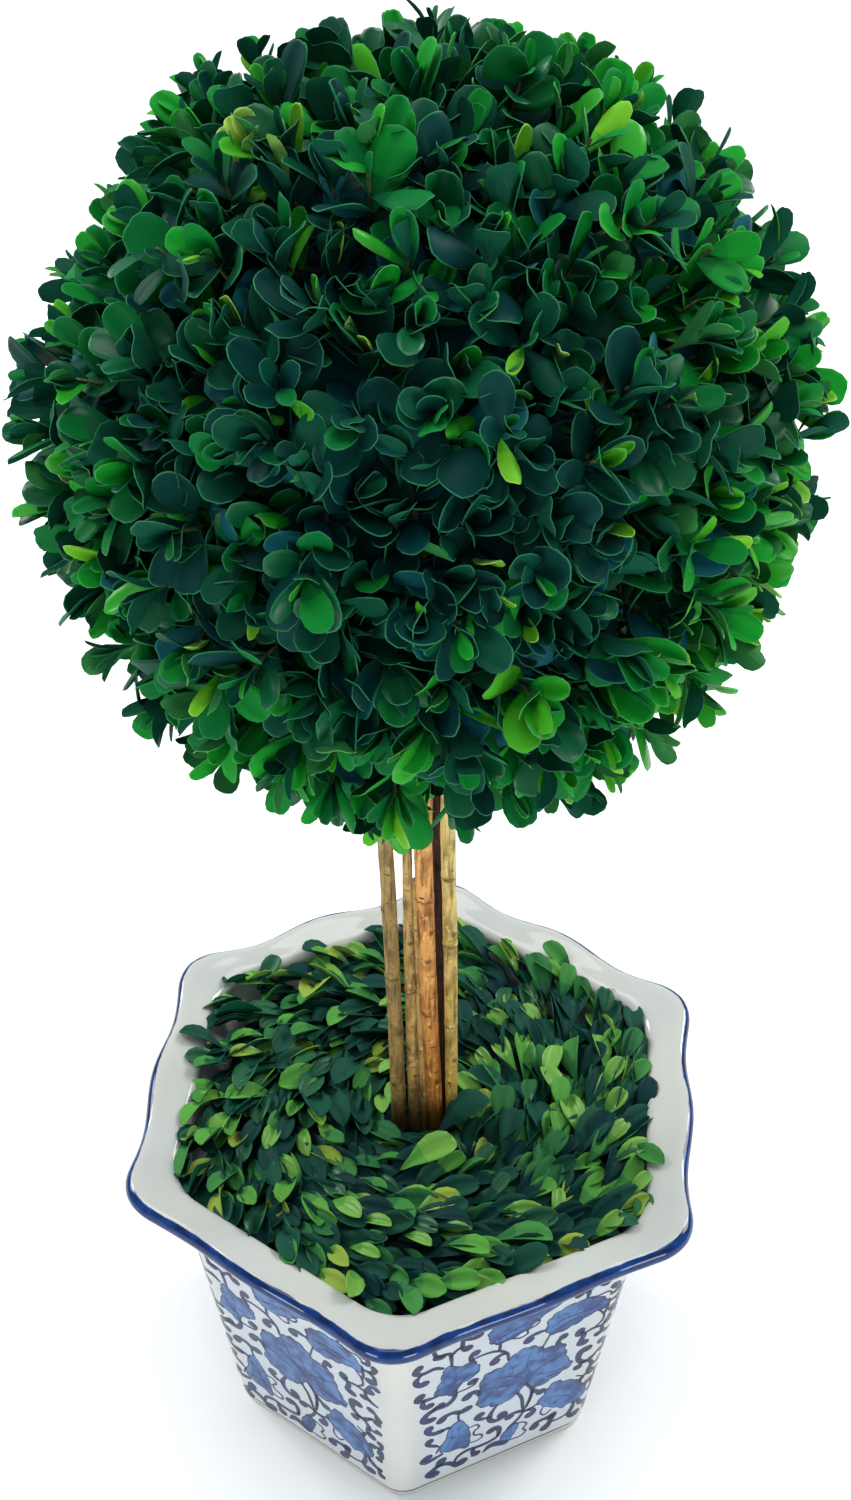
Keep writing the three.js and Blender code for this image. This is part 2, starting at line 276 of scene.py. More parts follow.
def object_place(material):
    return add_node(material, "ShaderNodeTexCoord").outputs["Object"]


def height_of(material, place):
    return add_node(material, "ShaderNodeSeparateXYZ", {0: place}).outputs[2]


def carried(material, name):
    """A number that the mesh carries at each vertex."""
    return add_node(material, "ShaderNodeAttribute", attribute_name=name).outputs["Fac"]


def worked(material, operation, *values):
    return add_node(material, "ShaderNodeMath", dict(enumerate(values)), operation=operation).outputs[0]


def grain(material, place, scale, detail=3, stretch=(1, 1, 1)):
    """Noise from 0 to 1 over the piece, drawn out along an axis where its stretch is below 1."""
    mapping = add_node(material, "ShaderNodeMapping", {"Vector": place, "Scale": stretch})
    inputs = {"Vector": mapping.outputs[0], "Scale": scale, "Detail": detail}
    return add_node(material, "ShaderNodeTexNoise", inputs).outputs[0]


def ranged(material, value, low, high, to_low=0.0, to_high=1.0):
    inputs = {0: value, 1: low, 2: high, 3: to_low, 4: to_high}
    return add_node(material, "ShaderNodeMapRange", inputs).outputs[0]


def faded(material, length, start, end, most=1.0):
    """Rises to most as a length in the shader's metres goes from start to end, which are millimetres."""
    return ranged(material, length, start * MM, end * MM, 0.0, most)


def mixed(material, share, first, second):
    """The first colour blended to the second. Each is a colour or a node's output."""
    node = add_node(material, "ShaderNodeMix", data_type="RGBA")
    give(material, node.inputs[0], share)
    sockets = [socket for socket in node.inputs if socket.type == "RGBA"]
    for socket, colour in zip(sockets, (first, second)):
        give(material, socket, colour if isinstance(colour, bpy.types.NodeSocket) else (*colour, 1))
    return next(socket for socket in node.outputs if socket.type == "RGBA")


def relief(material, height, depth):
    """Bump of the given depth in millimetres."""
    bump = add_node(material, "ShaderNodeBump", {"Height": height, "Distance": depth * MM, "Strength": 1.0})
    feed(material, "Normal", bump.outputs[0])


GLAZE_WHITE = paint(185, 186, 180)
GLAZE_COOL = paint(179, 182, 181)
GLAZE_HAZE = paint(175, 182, 189)
COBALT = paint(6, 54, 118)
COBALT_DARK = paint(0, 20, 64)
LINE_GREY = paint(22, 24, 28)
FOOT_GREY = paint(176, 176, 171)
# Where the glaze's colours fade in: heights in millimetres, and for the lip's band the way round it from
# its edge
HAZE_FADE = (138, 128)
FOOT_FADE = (2.8, 2.4)
FOOT_LINE_FADES = ((2.4, 2.7), (5.1, 4.7))
LIP_BAND_FADES = ((-5.8, -5.4), (4.4, 4.0))


def glaze_finish():
    """White glaze, with the blue lip edge and the thin line above the foot painted on by hand."""
    material = plain_finish("glaze", GLAZE_WHITE, 0.1, Coat_Roughness=0.04, Specular_IOR_Level=0.3)
    place = object_place(material)
    height = height_of(material, place)
    clouds = grain(material, place, 22)
    body = mixed(material, ranged(material, clouds, 0.35, 0.7), GLAZE_WHITE, GLAZE_COOL)
    hazy = worked(material, "MULTIPLY", carried(material, "in_panel"), faded(material, height, *HAZE_FADE))
    body = mixed(material, hazy, body, GLAZE_HAZE)
    waver = ranged(material, grain(material, place, 90), 0.3, 0.7, -0.5, 0.5)
    wavering = worked(material, "ADD", carried(material, "lip_run"), waver)
    band = worked(material, "MULTIPLY", *(ranged(material, wavering, *fade) for fade in LIP_BAND_FADES))
    streaks = grain(material, place, 160, stretch=(1, 1, 3))
    blue = mixed(material, ranged(material, streaks, 0.35, 0.65), COBALT_DARK, COBALT)
    line = worked(material, "MULTIPLY", *(faded(material, height, *fade) for fade in FOOT_LINE_FADES))
    colour = mixed(material, faded(material, height, *FOOT_FADE), body, FOOT_GREY)
    colour = mixed(material, line, colour, LINE_GREY)
    colour = mixed(material, band, colour, blue)
    feed(material, "Base Color", colour)
    feed(material, "Coat Weight", ranged(material, band, 0, 1, 0.35, 0.08))
    feed(material, "Roughness", ranged(material, clouds, 0.3, 0.7, 0.06, 0.16))
    relief(material, grain(material, place, 60, detail=1), 0.12)
    return material


def cobalt_finish(name, pale, deep):
    """Painted blue under the glaze: watery, pooled darker in places."""
    pale, deep = paint(*pale), paint(*deep)
    material = plain_finish(name, deep, 0.12, Specular_IOR_Level=0.22)
    place = object_place(material)
    pools = grain(material, place, 210, detail=5)
    broad = grain(material, place, 55, detail=2)
    colour = mixed(material, ranged(material, broad, 0.4, 0.62), pale, deep)
    colour = mixed(material, ranged(material, pools, 0.5, 0.62, 0, 0.85), colour, deep)
    colour = mixed(material, ranged(material, pools, 0.45, 0.35, 0, 0.85), colour, pale)
    feed(material, "Base Color", colour)
    feed(material, "Roughness", ranged(material, pools, 0.3, 0.7, 0.1, 0.18))
    return material


# Heights between which a stem's bark goes from its top colour to its foot's, and into painted shade by the
# bed's leaves
BARK_FADE = (300, 140)
SHADE_FADE = (150, 139)


def bark_finish(name, top, foot, blotch, rings=(), knots=()):
    """Dry bark, its colour running from the stem's top to its foot, with blotches, pale flecks, long grain
    and short dark cracks across it. rings are heights and knots places in millimetres, marked dark."""
    top, foot, blotch = (paint(*colour) for colour in (top, foot, blotch))
    material = plain_finish(name, top, 0.62, Specular_IOR_Level=0.3)
    place = object_place(material)
    height = height_of(material, place)
    blotches = grain(material, place, 230, detail=6, stretch=(1, 1, 0.45))
    flecks = grain(material, place, 620, detail=4, stretch=(1, 1, 0.6))
    streaks = grain(material, place, 800, detail=5, stretch=(1, 1, 0.08))
    cracks = grain(material, place, 330, detail=3, stretch=(1, 1, 2.6))
    dark = tuple(channel * 0.22 for channel in foot)
    pale = tuple(min(channel * 1.35 + 0.03, 0.9) for channel in top)
    colour = mixed(material, faded(material, height, *BARK_FADE), top, foot)
    colour = mixed(material, ranged(material, blotches, 0.46, 0.68), colour, blotch)
    colour = mixed(material, ranged(material, flecks, 0.56, 0.7, 0, 0.6), colour, pale)
    colour = mixed(material, ranged(material, streaks, 0.5, 0.7, 0, 0.85), colour, dark)
    colour = mixed(material, ranged(material, cracks, 0.64, 0.69), colour, dark)
    waver = ranged(material, flecks, 0.3, 0.7, -0.9 * MM, 0.9 * MM)
    wavering = worked(material, "ADD", height, waver)
    for ring in rings:
        away = worked(material, "ABSOLUTE", worked(material, "SUBTRACT", wavering, ring * MM))
        colour = mixed(material, faded(material, away, 0.55, 0.25, 0.85), colour, dark)
    for knot in knots:
        inputs = {0: place, 1: [channel * MM for channel in knot]}
        away = add_node(material, "ShaderNodeVectorMath", inputs, operation="DISTANCE").outputs["Value"]
        colour = mixed(material, faded(material, away, 1.7, 0.6, 0.9), colour, dark)
    # Painted shade: the stem darkens towards its foot, where the bed's leaves close round it
    colour = mixed(material, faded(material, height, *SHADE_FADE, 0.8), colour, dark)
    feed(material, "Base Color", colour)
    feed(material, "Roughness", ranged(material, streaks, 0.3, 0.7, 0.5, 0.75))
    relief(material, mixed(material, 0.5, streaks, blotches), 0.6)
    return material


def mossy_finish(name, dark, light, scale):
    """Dark, dry and rough, for what lies under the leaves."""
    dark, light = paint(*dark), paint(*light)
    material = plain_finish(name, dark, 0.95, Specular_IOR_Level=0.1)
    tufts = grain(material, object_place(material), scale, detail=6)
    feed(material, "Base Color", mixed(material, ranged(material, tufts, 0.4, 0.75), dark, light))
    feed(material, "Roughness", ranged(material, tufts, 0.3, 0.7, 0.85, 1.0))
    relief(material, tufts, 1.5)
    return material


# Leaf greens from the darkest to the freshest lime. The crown's first, a navy teal, is painted shade for its
# inner leaves, which show only in the gaps.
CROWN_GREENS = [
    (18, 84, 92), (9, 56, 52), (9, 68, 50), (9, 82, 47), (10, 100, 46), (13, 120, 43), (20, 138, 40),
    (40, 150, 34), (68, 162, 34), (102, 174, 38), (140, 188, 50), (174, 204, 88),
]
BED_GREENS = [
    (17, 52, 52), (22, 62, 56), (27, 74, 59), (35, 88, 60), (46, 106, 60), (62, 126, 62), (82, 146, 62),
    (106, 158, 66), (138, 162, 66),
]
LEAF_UNDERSIDES = [(20, 80, 60), (48, 118, 62), (118, 164, 78)]
LEAF_MARGINS = [(42, 112, 74), (70, 144, 70), (146, 188, 96)]
# Every fourth green is a glossier leaf's. Each has its roughness and its specular level
GLOSSY_LEAF = (0.34, 0.22)
SOFT_LEAF = (0.5, 0.06)
# The shares of the greens from which a leaf counts as fresh and as pale
FRESH_SHARE = 0.42
PALE_SHARE = 0.75


def leaf_finishes(place, greens):
    """A finish for each green, and for the margins and undersides of dark, fresh and pale leaves."""
    finishes = []
    for part, colours in (("green", greens), ("margin", LEAF_MARGINS), ("underside", LEAF_UNDERSIDES)):
        for i, colour in enumerate(colours):
            roughness, specular = GLOSSY_LEAF if part == "green" and i % 4 == 3 else SOFT_LEAF
            name = f"{place}_{part}_{i:02d}"
            finishes.append(plain_finish(name, paint(*colour), roughness, Specular_IOR_Level=specular))
    return finishes


def leaf_slots(tone, greens):
    """The material slots of a leaf's top, margin, underside and the top's foot, which is a step darker as
    painted shade, for one of the greens.
    """
    share = tone / len(greens)
    shade = 0 if share < FRESH_SHARE else 1 if share < PALE_SHARE else 2
    first_rim = len(greens)
    under = first_rim + len(LEAF_MARGINS) + shade
    # The top's foot takes a green a step darker: painted shade where the leaf meets its twig
    return tone, first_rim + shade, under, max(tone - 1, min(tone, 1))


# Finishing a piece

def add_piece(name, mesh, materials, replaced=()):
    """Makes a mesh in metres a piece that rides on the plant's one body."""
    for material in materials:
        mesh.materials.append(material)
    piece = add_object(name, mesh)
    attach(piece, "root")
    if replaced:
        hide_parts(*replaced)


def finish_shape(name, bm, materials, replaced=(), smooth=True):
    """Turns a shape in millimetres into a piece."""
    bmesh.ops.scale(bm, vec=(MM, MM, MM), verts=bm.verts)
    for face in bm.faces:
        face.smooth = smooth
    add_piece(name, as_mesh(name, bm), materials, replaced)


# The planter

def turned(outline, steps, marks=None):
    """A closed turned shape about Z, from an outline of (radius, height) that starts and ends on the axis.
    marks gives each outline point a number, which every vertex turned from it keeps as lip_run."""
    bm = bmesh.new()
    run = bm.verts.layers.float.new("lip_run") if marks else None
    verts = [bm.verts.new((0, -radius, height)) for radius, height in outline]
    if marks:
        for vert, mark in zip(verts, marks):
            vert[run] = mark
    edges = [bm.edges.new(pair) for pair in zip(verts, verts[1:])]
    bmesh.ops.spin(
        bm, geom=verts + edges, cent=(0, 0, 0), axis=(0, 0, 1), angle=math.tau, steps=steps, use_merge=True
    )
    bmesh.ops.remove_doubles(bm, verts=bm.verts, dist=1e-4)
    bmesh.ops.recalc_face_normals(bm, faces=bm.faces)
    return bm


def hex_side_point(step, steps, vertex_radius, corner_radius):
    """A point on a rounded hexagon: along a side from its middle, and out from the axis. A third of the steps
    go round the corners, and step 0 is the middle of the corner where the side begins."""
    arc_steps = steps / HEX_SIDES
    from_end = min(step, steps - step)
    way = -1 if step <= steps / 2 else 1
    if from_end < arc_steps:
        lean = HALF_SIDE_TURN * (1 - from_end / arc_steps)
        centre = vertex_radius - corner_radius / math.cos(HALF_SIDE_TURN)
        along = way * (centre / 2 + corner_radius * math.sin(lean))
        return along, centre * math.cos(HALF_SIDE_TURN) + corner_radius * math.cos(lean)
    half = vertex_radius / 2 - corner_radius * math.tan(HALF_SIDE_TURN)
    share = (step - arc_steps) / (steps - 2 * arc_steps)
    return half * (2 * share - 1), vertex_radius * math.cos(HALF_SIDE_TURN)


def corner_at(radius, height):
    return min(blend(BODY_CORNER, LIP_CORNER, eased(height, FLARE_START_Z, LIP_HEIGHT)), radius / 2)


# How far in from a side's ends, and how far above the foot, the painted part of a wall begins and is full
PANEL_ENDS = (5, 13)
PANEL_FOOT = (5, 9)


def side_facing(side):
    """The direction that a side of the planter faces, as an angle from the front."""
    return PLANTER_TURN + (side + 0.5) * SIXTH_TURN


def place_on_side(side, along, out, height):
    """The place of a point that lies along a side from its middle, and out from the axis."""
    facing = side_facing(side)
    return Vector((
        math.sin(facing) * out + math.cos(facing) * along,
        math.sin(facing) * along - math.cos(facing) * out,
        height,
    ))


def make_hexagonal(bm, steps, waved):
    """Turns a round shape into a rounded hexagon. The lip swells out and up at each corner and at the middle
    of each side, and draws back between them. in_panel marks where the walls are painted."""
    segments = steps * HEX_SIDES
    in_panel = bm.verts.layers.float.new("in_panel")
    for vert in bm.verts:
        radius = math.hypot(vert.co.x, vert.co.y)
        height = vert.co.z
        if radius < 1:
            continue
        side, step = divmod(round(azimuth_of(vert.co) / math.tau * segments) % segments, steps)
        along, out = hex_side_point(step, steps, radius, corner_at(radius, height))
        share = eased(radius, MOUTH_RADIUS, LIP_RADIUS) if waved and height >= FLARE_START_Z else 0
        wave = share * math.cos(4 * math.pi * (along + radius / 2) / radius)
        in_from_end = radius / 2 - abs(along)
        vert[in_panel] = eased(in_from_end, *PANEL_ENDS) * eased(height, *PANEL_FOOT)
        swell = 1 + wave * LIP_WAVE_OUT / radius
        vert.co = place_on_side(side, along * swell, out * swell, height + wave * LIP_WAVE_UP)
    return bm


def body_radius(height):
    """The sharp-corner radius of the planter's outer wall at a height."""
    return FOOT_RADIUS + BODY_FLARE * height


def inner_radius(height):
    return body_radius(height) - WALL


def planter_outline():
    """The outline up the wall, over the lip and down inside, and how far round it each point lies from the
    lip's edge."""
    foot = [
        (FOOT_RADIUS - 1.2, 0), (FOOT_RADIUS - 0.5, 0.3), (FOOT_RADIUS - 0.3, 0.9),
        (FOOT_RADIUS - 0.2, FOOT_BAND - 1.6), (body_radius(FOOT_BAND) - 0.5, FOOT_BAND - 1.0),
        (body_radius(FOOT_BAND) - 0.1, FOOT_BAND - 0.3), (body_radius(FOOT_BAND + 0.6), FOOT_BAND + 0.6),
    ]
    wall = [(body_radius(height), height) for height in (8, 30, 60, 90, 112)]
    lip = smooth_path([
        (body_radius(116), 116), (body_radius(WALL_TOP_Z), WALL_TOP_Z), (97.6, 130), (100.0, 135.4),
        (104.2, 139.6), (110.2, 142.8), (LIP_RADIUS - 1.8, LIP_HEIGHT - LIP_EDGE - 1.4),
        (LIP_RADIUS - 0.2, LIP_HEIGHT - LIP_EDGE), (LIP_RADIUS, LIP_HEIGHT - 2.6),
        (LIP_RADIUS - 1.2, LIP_HEIGHT - 0.8), (LIP_RADIUS - 3.4, LIP_HEIGHT),
        (MOUTH_RADIUS + 7, LIP_HEIGHT - 1.3), (MOUTH_RADIUS, LIP_HEIGHT - 3),
        (MOUTH_RADIUS - 1.8, LIP_HEIGHT - 4.6), (MOUTH_RADIUS - 2.4, LIP_HEIGHT - 9),
        (inner_radius(FLARE_START_Z), FLARE_START_Z),
    ], 4)
    inside = [
        (inner_radius(90), 90), (inner_radius(FLOOR_THICKNESS + 4), FLOOR_THICKNESS + 4),
        (inner_radius(FLOOR_THICKNESS) - 4, FLOOR_THICKNESS), (0, FLOOR_THICKNESS),
    ]
    outline = [(0, 0), *foot, *wall, *(tuple(point) for point in lip), *inside]
    runs = [0.0]
    for near, far in zip(outline, outline[1:]):
        runs.append(runs[-1] + math.dist(near, far))
    edge = max(range(len(outline)), key=lambda i: outline[i][0])
    return outline, [run - runs[edge] for run in runs]


def add_planter(glaze):
    outline, runs = planter_outline()
    bm = make_hexagonal(turned(outline, PLANTER_STEPS * HEX_SIDES, runs), PLANTER_STEPS, True)
    finish_shape("glazed_planter", bm, [glaze], ["planter"])


# The painted panels. Each place is millimetres along the panel from its middle, and its height. A scroll is
# (width, knob at its start, knob at its end, places).

SCROLLS = [
    (1.3, 2.7, 1.0, [(-37.5, 105.5), (-38.6, 102.5), (-36, 100), (-31, 100.4), (-27.6, 98)]),
    (1.5, 0.9, 3.0, [(-36.5, 99.5), (-38.3, 96), (-37, 92.5), (-34.6, 91.8)]),
    (1.4, 3.0, 1.0, [(-35.8, 82.6), (-37, 80), (-34, 78.2), (-29, 77.6)]),
    (1.4, 0.9, 3.0, [(-34.3, 78.2), (-34.6, 75), (-33.4, 72.4), (-31.6, 72.2)]),
    (1.7, 1.2, 2.8, [(-21.4, 77), (-21.4, 71), (-24, 67.4), (-28.5, 67.6), (-32, 66), (-33.6, 62.5),
                     (-32, 60.2), (-30, 59.8)]),
    (1.2, 0.9, 2.6, [(-30.5, 66.5), (-28.6, 68.8), (-26.8, 69.2)]),
    (1.4, 2.9, 2.9, [(-26, 55.6), (-24.4, 58), (-21, 58.4), (-18, 56.6), (-14.8, 57)]),
    (0.6, 0.6, 0.9, [(-18.4, 56.6), (-18.6, 53), (-18, 49.5)]),
    (1.4, 2.9, 2.4, [(-30.8, 53), (-31, 50), (-29, 47.4), (-25.4, 46.8)]),
    (1.0, 1.0, 1.0, [(-25, 46.6), (-23, 47.2), (-21.4, 46)]),
    (1.0, 2.6, 0.6, [(-30, 42), (-30.3, 39), (-27.6, 36.2), (-25.6, 34)]),
    (1.5, 3.0, 1.2, [(-30, 28.2), (-31.8, 26.2), (-30.4, 24.2), (-27, 25), (-24, 26)]),
    (0.5, 0.5, 0.5, [(-26.4, 29), (-25.6, 32), (-24.6, 34)]),
    (1.7, 3.1, 3.6, [(-23.6, 20.4), (-24.6, 17.4), (-26.4, 15.4), (-28.6, 12.6), (-26.4, 10.4)]),
    (1.5, 1.6, 3.6, [(-24.6, 16.6), (-21, 15.6), (-18.6, 13.4), (-16.4, 10.6), (-14.2, 11.8)]),
    (1.2, 0.8, 1.0, [(-17.6, 14), (-16.8, 17.6), (-12.8, 20), (-8, 19.2), (-3, 19.4), (0.2, 21), (1.4, 24)]),
    (1.3, 0.9, 3.0, [(-10, 19.6), (-9.8, 16), (-8.4, 13.6)]),
    (2.2, 0.9, 2.6, [(-4.8, 12.4), (-1.6, 15.4), (2.4, 13.8), (4.4, 12.6)]),
    (1.4, 0.9, 3.0, [(0.6, 21.4), (0.8, 27), (-0.8, 29.8), (-3, 28.6)]),
    (1.4, 1.0, 3.2, [(-2, 49.4), (-4.2, 44), (-4.2, 39), (-1.6, 36), (1.6, 37), (1, 39.4)]),
    (1.2, 0.9, 2.8, [(-4.6, 41.6), (-8.4, 42.8), (-10.4, 45.2), (-8.8, 46.8)]),
    (1.3, 3.0, 1.0, [(4.6, 34.2), (6.2, 35.9), (9, 35.4), (11, 33.8)]),
    (1.3, 1.0, 3.0, [(10.8, 34), (14, 33.4), (15.6, 30.6), (13.8, 28.4)]),
    (0.6, 0.6, 0.6, [(11.4, 33.8), (14.6, 34.4), (17.6, 36.4)]),
    (0.9, 0.7, 0.9, [(10.8, 34), (9, 29.6), (5.4, 25)]),
    (0.9, 0.9, 0.7, [(6.4, 53), (8.8, 47), (9.8, 40.6), (10.6, 34.4)]),
    (0.9, 0.9, 0.6, [(9.6, 57.6), (12.6, 51.6), (13, 45), (11, 35)]),
    (0.6, 0.5, 0.5, [(13.6, 52.4), (13.2, 44), (12, 37)]),
    (1.4, 2.9, 2.9, [(30.4, 83.4), (30, 81.2), (32.2, 79.8), (31.6, 75.6), (31.4, 73.2), (33.2, 72.6)]),
    (0.9, 0.9, 2.9, [(32.2, 80.2), (36, 81.4), (40, 81), (42.8, 83.6)]),
    (1.2, 0.9, 1.0, [(40, 81), (40.4, 77), (42.6, 74.6), (45, 74)]),
    (1.1, 2.4, 0.9, [(38.6, 75.2), (40.6, 75.4), (42, 76)]),
    (1.4, 3.1, 0.9, [(35.4, 66.4), (33, 65.6), (31.9, 61.6), (33.2, 57.6), (36.4, 55.8), (38.8, 58),
                     (41, 60.4)]),
    (1.1, 0.9, 3.0, [(40, 59.4), (42.6, 60.6), (43.6, 59.4)]),
    (1.3, 0.9, 3.0, [(35.2, 56.4), (33.6, 55), (32.6, 53.4)]),
    (1.3, 1.0, 2.9, [(37.2, 55.8), (39, 52), (38.2, 47.4), (39.8, 44.4)]),
    (1.1, 0.9, 2.6, [(39, 50.4), (42, 50.4), (43.6, 51.8)]),
    (0.8, 0.7, 0.8, [(38.4, 46), (35.4, 42.6), (34.8, 40)]),
    (1.2, 2.9, 2.6, [(41.4, 67.6), (43.6, 66), (44.6, 63)]),
    (1.2, 2.4, 2.4, [(38.6, 36), (41, 37.6), (43, 36.4), (42.6, 33)]),
    (1.1, 0.9, 2.4, [(42, 37), (44, 40), (43.4, 42.4)]),
    (1.2, 0.8, 2.6, [(44, 32), (42.4, 29.6), (41.6, 27.6)]),
    (1.3, 3.1, 2.9, [(17.2, 15.2), (18.2, 18.4), (21.8, 19), (24.8, 18.6)]),
    (1.5, 2.4, 3.0, [(25.4, 20), (24.8, 16), (24.2, 13.4), (22.4, 10.2)]),
    (0.7, 0.8, 0.7, [(24.4, 13.8), (28.6, 13.4), (32.4, 15)]),
    (1.3, 0.8, 3.3, [(34.2, 24), (34, 19), (32.8, 14.4), (34.4, 11.6), (36.4, 12.6)]),
    (1.6, 0.9, 1.6, [(36, 24.4), (37.4, 20.6), (39.4, 18.6), (41.4, 18.6)]),
    (1.2, 1.4, 2.6, [(41.4, 18.6), (40.6, 15.6), (41.6, 13.4)]),
    (1.0, 0.9, 0.8, [(-32.6, 120), (-32, 113), (-30.4, 109), (-25.6, 107.4), (-24.6, 103), (-24, 97)]),
    (1.2, 0.8, 2.7, [(-31.4, 110), (-31, 107.6), (-28.6, 107.4)]),
    (1.1, 0.8, 2.9, [(-20.4, 118), (-20.6, 111), (-20.2, 107.6), (-18, 106)]),
    (1.0, 0.8, 0.8, [(-24.8, 105), (-23, 107.6), (-20.6, 109)]),
    (1.2, 2.6, 0.8, [(-14, 112.6), (-16.4, 112), (-19, 113.6), (-20.4, 115.6)]),
    (1.2, 3.0, 0.8, [(-14.6, 99.8), (-16.2, 98.6), (-16, 95.4), (-14, 92)]),
    (0.8, 0.8, 0.9, [(-15.8, 95.8), (-9, 95.8), (-4, 93.4), (-0.8, 89), (0, 84)]),
    (0.8, 0.7, 0.7, [(-4.6, 99), (-4.5, 94)]),
    (1.3, 3.2, 0.8, [(-5.9, 86.4), (-5.6, 89), (-3, 90.2), (-1.6, 89.6)]),
    (1.3, 3.3, 0.9, [(7.6, 92.8), (8.6, 95.2), (11, 95.8), (14.6, 95.4)]),
    (1.3, 3.1, 0.9, [(23, 84.4), (21.4, 82.8), (20.6, 79.6)]),
    (0.5, 0.5, 0.5, [(16.8, 91), (15.4, 86), (14.2, 82)]),
    (0.6, 0.6, 0.6, [(37, 94.2), (39.4, 90), (39.6, 85.6), (37, 82)]),
    (1.6, 3.1, 1.2, [(-16, 66.4), (-14.8, 68.6), (-11.8, 67.8), (-10.4, 64)]),
    (1.3, 3.2, 1.0, [(17.4, 45.2), (15.4, 47), (13.6, 49.6)]),
    (0.6, 2.9, 0.5, [(-14.6, 77.8), (-12.8, 78), (-13.4, 75), (-17, 74), (-20.6, 74)]),
    (0.5, 0.5, 0.5, [(-13, 39.6), (-10, 39.6), (-8.6, 36.8), (-10.6, 34.4), (-10.2, 31), (-7.4, 29.6),
                     (-6.6, 26.8), (-9, 25.2), (-12.6, 26.4)]),
    (0.5, 0.5, 0.5, [(6.8, 26.2), (11.6, 24.4), (13.4, 21.4), (12, 18.4), (13.6, 15.4), (11.6, 12.6),
                     (6.4, 13)]),
    (0.5, 0.5, 0.5, [(19.6, 30), (19.2, 25.6), (21.4, 22.8), (23.8, 25)]),
    (0.5, 0.5, 0.5, [(0.6, 99.2), (4, 97.6), (6.6, 98.8), (6.4, 101.6), (9.6, 102.4), (11, 105), (9.4, 107)]),
    (0.5, 0.5, 0.5, [(33, 46), (36.4, 43), (35, 40)]),
    (0.5, 0.5, 0.5, [(31.6, 107.4), (35, 106), (39.6, 106.4), (41.6, 103)]),
    (1.2, 2.7, 0.9, [(26.4, 112.4), (28.6, 114), (30.6, 111.4), (30.4, 108)]),
    (1.0, 0.9, 2.6, [(30.6, 112.4), (33.6, 115.4), (37.6, 113.6)]),
    (1.3, 3.0, 1.0, [(42, 109), (44, 107.4), (43.2, 104), (41, 103.4)]),
    (1.2, 0.9, 3.0, [(40.4, 98), (43.6, 98.6), (45.6, 97), (45.4, 93), (43.2, 91.6)]),
    (0.8, 0.8, 0.9, [(40.6, 100), (40.6, 94), (39.6, 90)]),
    (1.2, 0.9, 2.4, [(43.6, 98.6), (46, 101), (46.6, 104)]),
    (1.1, 0.9, 2.6, [(42, 86), (44, 88), (46, 88)]),
]

# Where the transfer is cut, so that it bends round the planter's corners
BEND_CUTS = [way * step for way in (-1, 1) for step in range(27, 49, 2)]

# Filled shapes of the flowers and buds, each with how ragged the brush left its edge
WASHES = [
    (0.5, [(0, 83), (2.8, 86), (6, 87.6), (10, 86.6), (13, 84), (15.6, 81), (19, 80), (22, 80.2),
           (24.2, 77.4), (25, 73), (26, 68), (27.6, 63), (29.4, 60), (28.4, 57.2), (25, 55.4), (21, 52.6),
           (16, 51.2), (13.2, 51.4), (11.6, 54.8), (9.6, 58), (8, 55), (6, 52), (3, 50), (0, 49.2),
           (-3, 49.6), (-5.6, 51.6), (-9.6, 54), (-11, 58), (-10.4, 64), (-10.6, 70), (-10, 77), (-8, 79.6),
           (-4, 80), (-1.4, 79.6)]),
    (0.3, [(-27, 96.2), (-24.6, 97.6), (-22, 95), (-18.6, 93.6), (-15.4, 94.8), (-13.8, 91), (-12.2, 88),
           (-12.6, 84), (-16, 81), (-19, 80), (-20.4, 77), (-21, 72.6), (-23, 74), (-27, 77), (-29.6, 78.6),
           (-29.4, 83), (-28, 87), (-27.6, 92)]),
    (0.35, [(-9.4, 105), (-8, 101.6), (-5, 99.6), (0, 99.6), (5, 101.6), (9, 104.4), (12, 108), (17, 110.4),
            (21, 114), (18, 118), (5, 119), (-5, 116), (-10, 110)]),
    (0.5, [(14.6, 98.6), (15.6, 103), (18, 105.4), (22, 107), (28, 107.6), (34, 105.6), (38.6, 102.2),
           (40.6, 98), (39, 94.4), (35, 94.4), (31, 92.6), (27, 90.8), (22, 89.6), (18, 90), (15.4, 93)]),
    (0.2, [(-18, 49.6), (-15.6, 46), (-13.8, 41), (-12.4, 34), (-12.2, 28), (-13, 22.4), (-16, 25), (-21, 26),
           (-24.4, 28.4), (-25, 32), (-23, 38), (-22, 45), (-20.6, 48)]),
    (0.35, [(16.6, 36), (18.4, 40), (20.4, 45), (22, 48), (25, 48.6), (27, 46), (31, 44.6), (35, 40.4),
            (38, 34.4), (39, 30), (37.4, 25), (35, 22.6), (32, 24.4), (29.4, 22.6), (26, 25.6), (22, 29),
            (19, 32.6)]),
    (0.25, [(6.6, 27), (9.6, 24), (8, 18), (6.2, 13), (3.2, 13.2), (2, 18), (3.6, 22.6)]),
]

